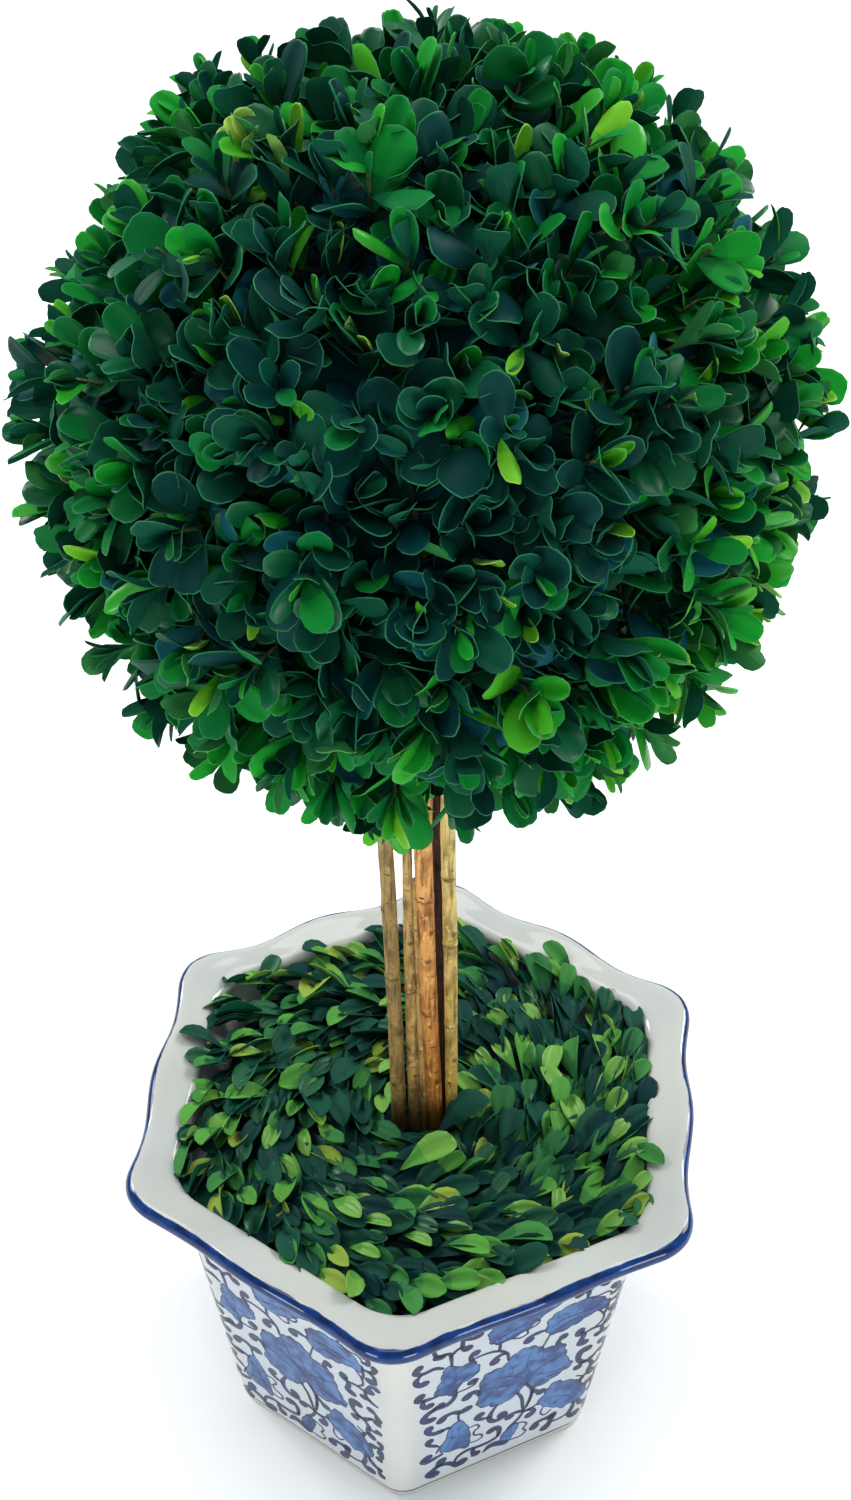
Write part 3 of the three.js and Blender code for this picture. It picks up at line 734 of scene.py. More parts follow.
# Fine dark veins on the flowers: (width, places)
VEINS = [
    (0.7, [(9.6, 58), (8.4, 63), (4, 68), (-2, 71.4)]), (0.7, [(10, 58), (12, 64), (17.6, 68), (22, 69)]),
    (0.5, [(9.4, 60), (9.8, 68), (8.4, 76), (9.8, 82)]), (0.5, [(-10, 66.6), (-6, 66), (-1, 63.6), (3, 62)]),
    (0.5, [(2.6, 51.6), (5.4, 55.6), (7.8, 60)]), (0.5, [(26, 58.4), (20, 59), (14.6, 61)]),
    (0.6, [(0.6, 80), (2.4, 75.6), (3, 71.4)]), (0.5, [(15, 79), (15.4, 74.6), (13.4, 70)]),
    (0.5, [(-21, 77), (-22.6, 82), (-21.6, 87.6), (-22.6, 92)]), (0.5, [(-22.6, 80), (-26, 84), (-26.4, 89)]),
    (0.5, [(-17.4, 46), (-17.6, 38), (-16, 31), (-15, 26)]), (0.5, [(-20.4, 44), (-20.6, 36), (-22, 30)]),
    (0.5, [(36, 25.4), (32, 30), (26, 35), (20, 38)]), (0.5, [(35, 27), (32.6, 34), (28.6, 40)]),
    (0.5, [(17, 96), (23, 98.4), (31, 98), (37, 98.6)]), (0.5, [(19, 92.4), (24, 95), (29.6, 95)]),
    (0.5, [(-6, 103), (-1, 105.4), (6, 107)]), (0.4, [(5, 15), (6.4, 20), (6.6, 25)]),
]

# How each panel's transfer was laid: shift along, shift up, and rise per millimetre along
PANEL_LAYS = [
    (0, 0, 0), (-3, -1.2, 0.01), (-5, -2, 0.03), (-2, -0.6, -0.01), (-4, -1.4, 0.02), (-8.5, -3.6, 0.05),
]
PANEL_SEED = 41
STROKE_FATNESS = 1.8
KNOB_FATNESS = 1.46
KNOB_LEAST = 2
# The shares of a stroke over which it swells into a knob, and over which it thins to its end
KNOB_SWELL = (0.42, 0.06)
THIN_END = 0.3
STROKE_END_HALF = 0.02
WASH_EDGE_WIDTHS = (0.3, 0.55)
WASH_EDGE_WAVER = 0.12
SCALLOP_POINTS = 5
PAINT_SUNK = 0.25
PAINT_FLARE = 0.22
WASH_LIFT = 0.06
LINE_LIFT = 0.1
VEIN_LIFT = 0.13
WASH_SLOT, LINE_SLOT, VEIN_SLOT = 0, 1, 2


def set_slot(verts, slot):
    """Gives a material slot to the faces of the vertices just made."""
    for face in {face for vert in verts for face in vert.link_faces}:
        face.material_index = slot


def add_stroke(bm, path, widths, lift, slot):
    """A painted stroke with round ends, flat in the panel's own plane."""
    path = [Vector(point) for point in path]
    last = len(path) - 1
    ways = [(path[min(i + 1, last)] - path[max(i - 1, 0)]).normalized() for i in range(last + 1)]

    def round_end(end, share):
        """A station past an end of the path, narrower the farther out it is."""
        half = widths[end] / 2
        outward = ways[end] if end else -ways[end]
        narrowed = half * math.sqrt(1 - share * share) + STROKE_END_HALF
        return path[end] + outward * half * share, ways[end], narrowed

    stations = [
        round_end(0, 1.0), round_end(0, 0.7),
        *((point, way, width / 2) for point, way, width in zip(path, ways, widths)),
        round_end(-1, 0.7), round_end(-1, 1.0),
    ]
    count = len(stations) - 1
    made = bmesh.ops.create_grid(bm, x_segments=count, y_segments=1, size=1)["verts"]
    for vert in made:
        middle, way, half = stations[round((vert.co.x + 1) / 2 * count)]
        left = Vector((-way.y, way.x)) * half * vert.co.y
        vert.co = (middle.x + left.x, middle.y + left.y, lift)
    set_slot(made, slot)


def add_scroll(bm, width, start_knob, end_knob, places):
    """A brush stroke that swells into a round knob at an end where one is wanted, or else thins there."""
    path = smooth_path(places, 4)
    last = len(path) - 1
    width *= STROKE_FATNESS
    start_knob *= KNOB_FATNESS
    end_knob *= KNOB_FATNESS
    widths = []
    for i in range(last + 1):
        share = i / last
        wide = width
        for knob, from_end in ((start_knob, share), (end_knob, 1 - share)):
            if knob > KNOB_LEAST:
                wide += max(knob - width, 0) * eased(from_end, *KNOB_SWELL)
            if knob < width:
                wide *= blend(knob / width, 1, eased(from_end, 0, THIN_END))
        widths.append(wide)
    add_stroke(bm, path, widths, LINE_LIFT, LINE_SLOT)


def add_wash(bm, draw, ragged, places):
    """A filled shape with a scalloped edge and a thin dark outline."""
    path = smooth_path(places, 4, closed=True)
    middle = sum(path) / len(path)
    rim = []
    for i, point in enumerate(path):
        out = (point - middle) / np.linalg.norm(point - middle)
        scallop = 2 * abs(math.sin(math.pi * i / SCALLOP_POINTS)) - 1
        rim.append(point + out * (draw.uniform(-WASH_EDGE_WAVER, WASH_EDGE_WAVER) + ragged * scallop))
    made = bmesh.ops.create_circle(bm, cap_ends=True, segments=len(rim), radius=1)["verts"]
    turning = sum(a[0] * b[1] - b[0] * a[1] for a, b in zip(rim, rim[1:] + rim[:1]))
    if turning < 0:
        rim.reverse()
    for vert, point in zip(made, rim):
        vert.co = (*point, WASH_LIFT)
    set_slot(made, WASH_SLOT)
    edge = [*rim, rim[0]]
    add_stroke(bm, edge, [draw.uniform(*WASH_EDGE_WIDTHS) for _ in edge], LINE_LIFT, LINE_SLOT)


def add_vein(bm, width, places):
    """A fine line that thins towards both ends."""
    path = smooth_path(places, 3)
    shares = [i / len(path) for i in range(len(path))]
    widths = [width * (0.25 + 0.5 * math.sin(math.pi * (0.15 + 0.7 * share))) for share in shares]
    add_stroke(bm, path, widths, VEIN_LIFT, VEIN_SLOT)


def wall_place(side, along, height, lift):
    """The place on the planter's outer wall, out by lift, at a distance along a side's outline."""
    radius = body_radius(min(height, WALL_TOP_Z)) + max(0, height - WALL_TOP_Z) * PAINT_FLARE
    half = radius / 2 - BODY_CORNER * math.tan(HALF_SIDE_TURN)
    over = abs(along) - half
    if over <= 0:
        across, out = along, radius * math.cos(HALF_SIDE_TURN) + lift
    else:
        lean = over / BODY_CORNER
        centre = radius * math.cos(HALF_SIDE_TURN) - BODY_CORNER
        across = math.copysign(half + (BODY_CORNER + lift) * math.sin(lean), along)
        out = centre + (BODY_CORNER + lift) * math.cos(lean)
    return place_on_side(side, across, out, height)


def add_painted_panels(materials):
    """The same scroll transfer on all six panels, each laid a little differently."""
    draw = random.Random(PANEL_SEED)
    panel = bmesh.new()
    for ragged, places in WASHES:
        add_wash(panel, draw, ragged, places)
    for scroll in SCROLLS:
        add_scroll(panel, *scroll)
    for vein in VEINS:
        add_vein(panel, *vein)
    bmesh.ops.recalc_face_normals(panel, faces=panel.faces)
    panel.normal_update()
    bmesh.ops.reverse_faces(panel, faces=[face for face in panel.faces if face.normal.z < 0])
    for cut in BEND_CUTS:
        geom = panel.verts[:] + panel.edges[:] + panel.faces[:]
        bmesh.ops.bisect_plane(panel, geom=geom, plane_co=(cut, 0, 0), plane_no=(1, 0, 0))
    bmesh.ops.solidify(panel, geom=panel.faces[:], thickness=PAINT_SUNK)
    flat = as_mesh("scroll_transfer", panel)
    painted = bmesh.new()
    for side, (shift, up, rise) in enumerate(PANEL_LAYS):
        laid = bmesh.new()
        laid.from_mesh(flat)
        for vert in laid.verts:
            along, height, lift = vert.co
            vert.co = wall_place(side, along + shift, height + up + rise * along, lift)
        panel_mesh = as_mesh("laid", laid)
        painted.from_mesh(panel_mesh)
        bpy.data.meshes.remove(panel_mesh)
    bpy.data.meshes.remove(flat)
    finish_shape("painted_scroll_panels", painted, materials, smooth=False)


# The stems

STEMS = [
    {"name": "stem_left", "foot": (-7.9, -1.0), "neck": (-11.9, -1.0), "radii": (2.9, 2.7), "bow": 0.3},
    {"name": "stem_thin", "foot": (-1.8, 0.0), "neck": (-4.7, 1.2), "radii": (2.7, 1.7), "bow": -0.3},
    {"name": "stem_middle", "foot": (6.1, -1.0), "neck": (0.7, -1.0), "radii": (3.1, 3.3), "bow": -0.5},
    {"name": "stem_right", "foot": (11.9, 0.2), "neck": (9.1, -0.5), "radii": (2.3, 2.7), "bow": 0.5},
    {"name": "stem_back", "foot": (8.4, 5.6), "neck": (5.5, 4.8), "radii": (2.4, 2.4), "bow": 0.1},
]
# Bark colours at the top and at the foot, and of the blotches
BARKS = {
    "stem_left": ((158, 132, 80), (140, 110, 58), (104, 84, 48)),
    "stem_thin": ((192, 160, 100), (168, 130, 70), (118, 90, 50)),
    "stem_middle": ((226, 168, 100), (186, 114, 38), (146, 88, 38)),
    "stem_right": ((212, 188, 122), (186, 150, 64), (140, 112, 50)),
    # stem_back's colours are dark partly from its own bark and partly as painted shade behind the other stems
    "stem_back": ((78, 50, 42), (52, 32, 32), (36, 22, 24)),
}
# Knots and rings: stem, height, azimuth in degrees (0 faces the front), reach in mm, height of the swelling
KNOTS = {
    "stem_left": [(248, -60, 0.5, 2.2), (186, 40, 0.4, 2.0), (158, -30, 0.5, 2.4)],
    "stem_thin": [(230, 20, 0.4, 1.8), (176, -40, 0.4, 2.0)],
    "stem_middle": [(238, 35, 0.8, 2.4), (224, 10, 0.6, 1.8), (197, -35, 0.8, 2.6), (160, 30, 0.6, 2.0)],
    "stem_right": [(236, 25, 0.7, 2.2), (262, -20, 0.4, 1.6), (170, 30, 0.5, 2.0)],
    "stem_back": [(214, 0, 0.5, 2.0)],
}
RINGS = {"stem_right": [262, 229, 188], "stem_left": [214], "stem_middle": [252], "stem_thin": [205]}
STEM_SIDES = 20
STEM_ROWS = 150
STEM_SEED_STEP = 11
# How fine the bark's unevenness is round a stem and along it, and for each of its noises how much finer it
# is than that and how far it stands out
BARK_ROUND = 2.2
BARK_ALONG = 0.045
BARK_NOISES = [(1, 0.16), (3.1, 0.1)]
BARK_SUNK = 0.1
KNOT_HALF_TURN = 0.7
RING_REACH = 0.28
RING_HALF_HEIGHT = 0.9
STEM_BESIDE_STUB = STEMS[1]
STUB_OUTLINE = [(0, 118), (1.6, 118), (1.6, 150), (1.45, 220), (1.4, 258.4), (1.2, 259.6), (0, 259.8)]
STUB_CUT_Z = 258.8
STUB_OFF = (1.0, -0.9)


def stem_middle_at(stem, height):
    """Where a stem's middle is. It leans from the bed to its neck, and is upright below and above."""
    share = held((height - BED_Z) / (NECK_Z - BED_Z))
    x = blend(stem["foot"][0], stem["neck"][0], share) + stem["bow"] * math.sin(math.pi * share)
    y = blend(stem["foot"][1], stem["neck"][1], share)
    return x, y, blend(*stem["radii"], share)


def knot_places(stem):
    """The knots' places on the bark."""
    places = []
    for height, azimuth, *_ in KNOTS[stem["name"]]:
        x, y, radius = stem_middle_at(stem, height)
        turn = math.radians(azimuth)
        places.append((x + math.sin(turn) * radius, y - math.cos(turn) * radius, height))
    return places


def bark_relief(name, azimuth, height, seed):
    """How far the bark stands out from the stem's even surface, in millimetres."""
    around = (math.sin(azimuth) * BARK_ROUND, math.cos(azimuth) * BARK_ROUND, height * BARK_ALONG + seed)
    out = sum(reach * noise.noise(Vector(around) * finer) for finer, reach in BARK_NOISES)
    for knot_height, knot_azimuth, reach, tall in KNOTS[name]:
        turn = math.remainder(azimuth - math.radians(knot_azimuth), math.tau) / KNOT_HALF_TURN
        rise = (height - knot_height) / tall
        out += reach * math.exp(-turn * turn - rise * rise)
    for ring_height in RINGS.get(name, ()):
        rise = (height - ring_height) / RING_HALF_HEIGHT
        out += RING_REACH * math.exp(-rise * rise)
    return out


def add_stem(stem, bark, seed):
    name = stem["name"]
    heights = [blend(STEM_FOOT_Z, STEM_TOP_Z, row / STEM_ROWS) for row in range(STEM_ROWS + 1)]
    outline = [(0, heights[0]), *((stem_middle_at(stem, h)[2], h) for h in heights), (0, heights[-1])]
    bm = turned(outline, STEM_SIDES)
    for vert in bm.verts:
        x, y, _ = stem_middle_at(stem, vert.co.z)
        azimuth = azimuth_of(vert.co)
        reach = math.hypot(vert.co.x, vert.co.y)
        if reach > 0.1:
            grown = (reach + bark_relief(name, azimuth, vert.co.z, seed) - BARK_SUNK) / reach
            vert.co.x *= grown
            vert.co.y *= grown
        vert.co.x += x
        vert.co.y += y
    finish_shape(f"bark_{name}", bm, [bark], [name])


def add_cut_stub(bark, cut_wood):
    """The thin twin beside stem_thin, which ends in a clean cut below the ball."""
    bm = turned(STUB_OUTLINE, 12)
    bmesh.ops.subdivide_edges(bm, edges=[edge for edge in bm.edges if edge.calc_length() > 20], cuts=10)
    for vert in bm.verts:
        x, y, radius = stem_middle_at(STEM_BESIDE_STUB, vert.co.z)
        vert.co.x += x + radius + STUB_OFF[0]
        vert.co.y += y + STUB_OFF[1]
    for face in bm.faces:
        face.material_index = 1 if face.calc_center_median().z > STUB_CUT_Z else 0
    finish_shape("bark_cut_stub", bm, [bark, cut_wood])


def add_stems():
    cut_wood = bark_finish("cut_wood", (206, 180, 132), (196, 168, 120), (170, 140, 96))
    for number, stem in enumerate(STEMS):
        name = stem["name"]
        bark = bark_finish(f"bark_of_{name}", *BARKS[name], RINGS.get(name, ()), knot_places(stem))
        add_stem(stem, bark, number * STEM_SEED_STEP)
        if stem is STEM_BESIDE_STUB:
            add_cut_stub(bark, cut_wood)


# Leaves

class LeafForm:
    """One leaf shape as arrays: a blade of length and width 1 along Y with its top facing +Z. Its faces are
    its top (0, and 3 at its foot, which takes a darker green as painted shade), its pale margin (1) and its
    underside (2)."""

    ROWS = (0.0, 0.2, 0.42, 0.63, 0.81, 0.935, 1.0)
    WIDTHS = (0.08, 0.38, 0.79, 1.0, 0.93, 0.68, 0.36)
    TIP = len(ROWS) - 1
    TOP, MARGIN, UNDERSIDE, FOOT = range(4)
    FOOT_ROWS = 2
    TIP_ROUNDING = 0.024
    THICKNESS = 0.015
    MARGIN_INSET = 0.6 * THICKNESS
    MIDDLE = Vector((0, 0.55, 0))

    def __init__(self, fold, cup, arch, curl, notch):
        bm = bmesh.new()
        bmesh.ops.create_grid(bm, x_segments=4, y_segments=self.TIP, size=1)
        rows = {face: int((face.calc_center_median().y + 1) / 2 * self.TIP) for face in bm.faces}
        tops = {face: self.FOOT if row < self.FOOT_ROWS else self.TOP for face, row in rows.items()}
        for vert in bm.verts:
            row = round((vert.co.y + 1) / 2 * self.TIP)
            across = vert.co.x
            along = self.ROWS[row]
            half = self.WIDTHS[row] / 2
            rise = half * (fold * abs(across) + cup * across * across)
            if row == self.TIP:
                along -= self.TIP_ROUNDING * across ** 2 + notch * (1 - abs(across))
            vert.co = (half * across, along, rise - arch * along ** 2 + curl * math.sin(math.pi * along))
        rim = {vert for edge in bm.edges if edge.is_boundary for vert in edge.verts}
        bmesh.ops.solidify(bm, geom=bm.faces[:], thickness=self.THICKNESS)
        for vert in rim:
            out = Vector((vert.co.x, vert.co.y, 0)) - self.MIDDLE
            vert.co -= out.normalized() * min(self.MARGIN_INSET, abs(vert.co.x) * 0.7 + 0.01)
        bm.normal_update()
        bm.verts.index_update()

        def kind(face):
            if face in tops:
                return tops[face]
            under = face.normal.z < -0.2 and all(vert not in rim for vert in face.verts)
            return self.UNDERSIDE if under else self.MARGIN

        self.points = np.array([vert.co[:] for vert in bm.verts])
        self.corners = np.array([[vert.index for vert in face.verts] for face in bm.faces])
        self.kinds = np.array([kind(face) for face in bm.faces])
        bm.free()


def leaf_frame(way, facing, length, width, roll=0.0):
    """A leaf's axes as columns: it grows along way, and its top faces the given side as nearly as it can."""
    across = way.cross(facing).normalized()
    blade = across.cross(way)
    if roll:
        turn = Matrix.Rotation(roll, 3, way)
        across, blade = turn @ across, turn @ blade
    return np.array([across * width, way * length, blade * length]).T


def join_leaves(name, leaves, forms, greens, materials, pale_margins=True):
    """Joins leaves of (form number, axes, root, tone) into one piece."""
    slots_of = np.array([leaf_slots(tone, greens) for tone in range(len(greens))])
    if not pale_margins:
        slots_of[:, 1] = slots_of[:, 0]
    points, corners, slots = [], [], []
    start = 0
    for number, form in enumerate(forms):
        group = [leaf for leaf in leaves if leaf[0] == number]
        if not group:
            continue
        axes = np.array([leaf[1] for leaf in group])
        roots = np.array([leaf[2] for leaf in group])
        tones = np.array([leaf[3] for leaf in group])
        placed = np.einsum("vi,nji->nvj", form.points, axes) + roots[:, None]
        firsts = start + np.arange(len(group)) * len(form.points)
        points.append(placed.reshape(-1, 3))
        corners.append((form.corners[None] + firsts[:, None, None]).reshape(-1, 4))
        slots.append(slots_of[tones][:, form.kinds].reshape(-1))
        start += len(group) * len(form.points)
    mesh = bpy.data.meshes.new(name)
    mesh.from_pydata((np.concatenate(points) * MM).tolist(), [], np.concatenate(corners).tolist())
    slots = np.concatenate(slots).astype(np.int32)
    mesh.polygons.foreach_set("use_smooth", (slots < len(greens)).astype(bool))
    mesh.polygons.foreach_set("material_index", slots)
    mesh.update()
    add_piece(name, mesh, materials)


# Fold, cup, arch, curl and notch of the leaf shapes, as shares of the length
CROWN_FORMS = [
    (0.03, 0.1, 0.06, 0.03, 0.01), (0.08, 0.04, 0.1, 0.02, 0.025), (0.0, 0.16, 0.04, -0.02, 0.01),
    (0.1, 0.0, 0.14, 0.04, 0.0), (0.04, 0.08, -0.05, 0.03, 0.03), (0.02, -0.16, 0.16, 0.02, 0.0),
]


def even_direction(step, count):
    """Even directions over a sphere, from the top down."""
    height = 1 - 2 * (step + 0.5) / count
    radius = math.sqrt(1 - height * height)
    angle = step * GOLDEN_ANGLE
    return Vector((radius * math.cos(angle), radius * math.sin(angle), height))


def ball_point(way, radius):
    return Vector((way.x * radius, way.y * radius, BALL_CENTRE_Z + way.z * radius * BALL_HEIGHT_SHARE))


def ball_distance(point):
    """How far a point lies from the ball's middle, measured against the ball's height and width."""
    return math.hypot(point.x, point.y, (point.z - BALL_CENTRE_Z) / BALL_HEIGHT_SHARE)


def near_stems(point, room):
    """Whether a point below the ball's middle lies within room of a stem's surface."""
    if point.z > BALL_CENTRE_Z:
        return False
    for stem in STEMS:
        x, y, radius = stem_middle_at(stem, point.z)
        if math.hypot(point.x - x, point.y - y) < radius + room:
            return True
    return False


# The leaf pairs of a fine twig: how far below its tip, how far they lean out, their length and their width
# as a share of it. The last pair lies deepest, and only every second twig has it.
CROWN_PAIRS = [
    (0.5, 0.26, 12.5, 0.48), (3.0, 0.46, 15.0, 0.52), (6.5, 0.66, 16.0, 0.55), (11.0, 0.9, 16.5, 0.58),
    (16.0, 1.15, 16.5, 0.66),
]
CROWN_SEED = 7
# Sides of the ball whose leaves are painted darker or lighter: painted shade on the front, painted light on
# the bottom, top, left and right. The side's direction, how squarely a spray has to face it to be changed and
# to be changed in full, and the change of tone
SIDE_LIGHT_AND_SHADE = [
    (Vector((0, -0.8, 0.6)), 0.5, 0.97, -1.3), (Vector((0, 0, -1)), -0.05, 0.6, 1.8), (UP, 0.6, 0.95, 1.4),
    (Vector((-1, 0, 0)), 0.5, 0.95, 0.7), (Vector((1, 0, 0)), 0.3, 0.9, 2.5),
]
MIDDLE_TONE = 3.8
PATCH_TONE = 2.2
SPRAY_TONE_STRAY = 0.8
# How many sprays are fresher than that, and by how much
FRESH_SPRAYS = 0.03
FRESH_SPRAY_RISE = (3, 5)
SPRAY_OPENNESS = (0.6, 1.1)
# How much chance moves a spray's place and growth, and a leaf's turn round the twig, lean, droop, roll and
# tone
WAY_STRAY = 0.022
GROWTH_STRAY = 0.17
TURN_STRAY = 0.2
LEAN_STRAY = 0.26
DROOP = 0.16
ROLL_STRAY = 0.42
LEAF_TONE_STRAY = 1.3
# How much a leaf's length and width vary, and how far leaf tips may stand past or stay short of the ball's
# reach, past which they are shortened
LENGTH_SHARES = (0.82, 1.3)
WIDTH_SHARES = (0.85, 1.12)
TIP_SLACK = (-4.5, 2.5)
SHORTENING = 1.1
# Each pair down the twig is darker by this, as painted shade deeper in the ball
PAIR_SHADE_DROP = 0.6
# The few narrow leaves: how many, how much narrower and how fresh
NARROW_LEAVES = 0.06
NARROW_SHARE = 0.55
NARROW_TONES = (6, 9.5)
# How far the sprays' tips sit off the core's middle, and how much farther they reach up and down
CROWN_SET = Vector((1.0, 0, 1.8))
CROWN_STRETCH = 0.05
# A spray's tip reaches out to the least reach and a share of the rest. The power makes long ones few.
LEAST_REACH = 88
REST_OF_REACH = 18.5
REACH_POWER = 1.6
# Where main twigs begin and end and fine ones begin and bend, out from the ball's middle, and their radii
MAIN_TWIG_ENDS = (60, 90)
FINE_TWIG_ROOTS = (78, 86)
FINE_TWIG_BEND = 89
MAIN_TWIG_RADII = (2.2, 1.6)
FINE_TWIG_RADII = (1.1, 0.8, 0.5)
LEAST_LEAF = 7
# How far towards its main twig a fine twig bends
BEND_SHARE = 0.12
# The room kept between the stems and leaf tips, leaf feet and twigs
LEAF_TIP_ROOM = 2.5
LEAF_FOOT_ROOM = 3
TWIG_ROOM = 5
# How deep the core's surface is set, and for each of its noises how fine it is and how far it stands out
CORE_SUNK = 2.5
CORE_TUFTS = [(14, 2.2), (31, 1.0)]


def strayed(draw, way, stray):
    """A direction turned a little by chance."""
    return (way + Vector((draw.gauss(0, 1), draw.gauss(0, 1), draw.gauss(0, 1))) * stray).normalized()


def spray_tone(draw, way):
    """The green that a spray's leaves are dealt around: in patches, and by the side of the ball, which paints
    shade on its front and light on its other sides.
    """
    patch = noise.noise(way * 2.3 + Vector((3, 1, 7)))
    tone = MIDDLE_TONE + PATCH_TONE * patch + draw.gauss(0, SPRAY_TONE_STRAY)
    for side, start, full, change in SIDE_LIGHT_AND_SHADE:
        tone += change * eased(way.dot(side), start, full)
    if draw.random() < FRESH_SPRAYS:
        tone += draw.uniform(*FRESH_SPRAY_RISE)
    return tone


def spray_leaves(draw, way, tip, growth, pairs):
    """The leaves of one fine twig, in opposite pairs a quarter turn apart. A few are narrow, turned and
    fresh."""
    side = UP.cross(growth) if abs(growth.z) < 0.98 else Vector((1, 0, 0))
    side = Matrix.Rotation(draw.uniform(0, math.pi), 3, growth) @ side.normalized()
    openness = draw.uniform(*SPRAY_OPENNESS)
    middle_tone = spray_tone(draw, way)
    leaves = []
    for number, (below, lean, length, width) in enumerate(pairs):
        deepest = number == len(CROWN_PAIRS) - 1
        start = tip - growth * below
        for half in (0, math.pi):
            turn = number * math.pi / 2 + half + draw.gauss(0, TURN_STRAY)
            out = Matrix.Rotation(turn, 3, growth) @ side
            tilt = lean * openness + draw.gauss(0, LEAN_STRAY)
            along = growth * math.cos(tilt) + out * math.sin(tilt)
            along.z -= DROOP * draw.random()
            along.normalize()
            size = length * draw.uniform(*LENGTH_SHARES)
            over = ball_distance(start + along * size) - BALL_REACH - draw.uniform(*TIP_SLACK)
            if over > 0:
                size -= over * SHORTENING
            end = start + along * size
            if size < LEAST_LEAF or near_stems(end, LEAF_TIP_ROOM) or near_stems(start, LEAF_FOOT_ROOM):
                continue
            form = draw.randrange(len(CROWN_FORMS))
            wide = size * width * draw.uniform(*WIDTH_SHARES)
            roll = draw.gauss(0, ROLL_STRAY)
            tone = middle_tone - number * PAIR_SHADE_DROP + draw.gauss(0, LEAF_TONE_STRAY)
            if draw.random() < NARROW_LEAVES:
                wide *= NARROW_SHARE
                roll *= 2
                tone = draw.uniform(*NARROW_TONES)
            axes = leaf_frame(along, growth, size, wide, roll)
            # The deepest pair takes the first green, painted shade of the ball's inside
            tone = 0 if deepest else round(held(tone, 1, len(CROWN_GREENS) - 1))
            leaves.append((form, axes, start, tone))
    return leaves


def grow_crown(draw):
    """The ball's fine twigs and their leaves, by the source's rule: even directions, and leaves in opposite
    pairs. Each fine twig branches from the nearest main twig."""
    mains = [even_direction(step, MAIN_TWIGS) for step in range(MAIN_TWIGS)]
    twigs = [(*(ball_point(way, end) for end in MAIN_TWIG_ENDS), *MAIN_TWIG_RADII) for way in mains]
    leaves = []
    for step in range(FINE_TWIGS):
        way = strayed(draw, even_direction(step, FINE_TWIGS), WAY_STRAY)
        main = max(mains, key=way.dot)
        reach = LEAST_REACH + REST_OF_REACH * draw.random() ** REACH_POWER
        reach *= 1 + CROWN_STRETCH * abs(way.z)
        root = ball_point(main, draw.uniform(*FINE_TWIG_ROOTS))
        tip = ball_point(way, reach) + CROWN_SET
        bend = ball_point(way.lerp(main, BEND_SHARE).normalized(), FINE_TWIG_BEND)
        if near_stems(tip, TWIG_ROOM) or near_stems(bend, TWIG_ROOM):
            continue
        twigs.append((root, bend, *FINE_TWIG_RADII[:2]))
        twigs.append((bend, tip, *FINE_TWIG_RADII[1:]))
        growth = strayed(draw, (tip - bend).normalized(), GROWTH_STRAY)
        pairs = CROWN_PAIRS[:-1] if step % 2 else CROWN_PAIRS
        leaves += spray_leaves(draw, way, tip, growth, pairs)
    return twigs, leaves


def add_twigs(twigs, bark):
    """Four-sided tapering twigs, joined into one piece."""
    bm = bmesh.new()
    for root, tip, root_radius, tip_radius in twigs:
        way = tip - root
        turn = way.to_track_quat("Z", "Y").to_matrix().to_4x4()
        place = Matrix.Translation((root + tip) / 2) @ turn
        bmesh.ops.create_cone(
            bm, cap_ends=True, segments=4, radius1=root_radius, radius2=tip_radius, depth=way.length,
            matrix=place,
        )
    finish_shape("ball_twigs", bm, [bark])


def add_ball_core(moss_and_shade):
    bm = bmesh.new()
    bmesh.ops.create_icosphere(bm, subdivisions=5, radius=1)
    for vert in bm.verts:
        way = vert.co.normalized()
        tufts = sum(noise.noise(way * fineness) * reach for fineness, reach in CORE_TUFTS)
        vert.co = ball_point(way, BALL_CORE_RADIUS - CORE_SUNK + tufts)
    finish_shape("ball_core", bm, [moss_and_shade], ["foliage_ball"])


def add_ball():
    # The core is tinted a light navy teal: painted shade, the colour of the gaps between the leaves
    moss_and_shade = mossy_finish("ball_moss_and_shade", (18, 68, 78), (26, 84, 88), 260)
    greens = leaf_finishes("leaf", CROWN_GREENS)
    twig_bark = bark_finish("twig_bark", (70, 84, 40), (56, 66, 34), (40, 50, 28))
    forms = [LeafForm(*form) for form in CROWN_FORMS]
    twigs, leaves = grow_crown(random.Random(CROWN_SEED))
    add_ball_core(moss_and_shade)
    add_twigs(twigs, twig_bark)
    parts = {}
    for leaf in leaves:
        root = leaf[2]
        part = "_".join((
            "upper" if root.z > BALL_CENTRE_Z else "lower", "front" if root.y < 0 else "back",
            "left" if root.x < 0 else "right",
        ))
        parts.setdefault(part, []).append(leaf)
    for part, some in parts.items():
        join_leaves(f"ball_leaves_{part}", some, forms, CROWN_GREENS, greens)


# The bed of leaves

def bed_height(radius):
    """The height of the bed's leafy crest: low round the stems, highest half way out."""
    share = held((radius - BED_HOLLOW_RADIUS) / (BED_CREST_RADIUS - BED_HOLLOW_RADIUS))
    rise = (BED_CREST_Z - BED_Z) * math.sin(share * math.pi / 2)
    return BED_Z + rise - max(0, radius - BED_CREST_RADIUS) * BED_FALL


BED_CORE_RINGS = (80, 70, 58, 46, 34, 24, 12, 0)


def add_bed_core(moss_and_shade):
    foot = BLOCK_TOP_Z + CLEARANCE
    edge = BED_Z - 4
    outline = [
        (0, foot), (inner_radius(foot) - FILL_INSET, foot), (inner_radius(edge) - FILL_INSET, edge),
        *((radius, bed_height(radius) - CORE_DEPTH) for radius in BED_CORE_RINGS),
    ]
    bm = make_hexagonal(turned(outline, BED_STEPS * HEX_SIDES), BED_STEPS, False)
    finish_shape("bed_core", bm, [moss_and_shade], ["leaf_bed"])


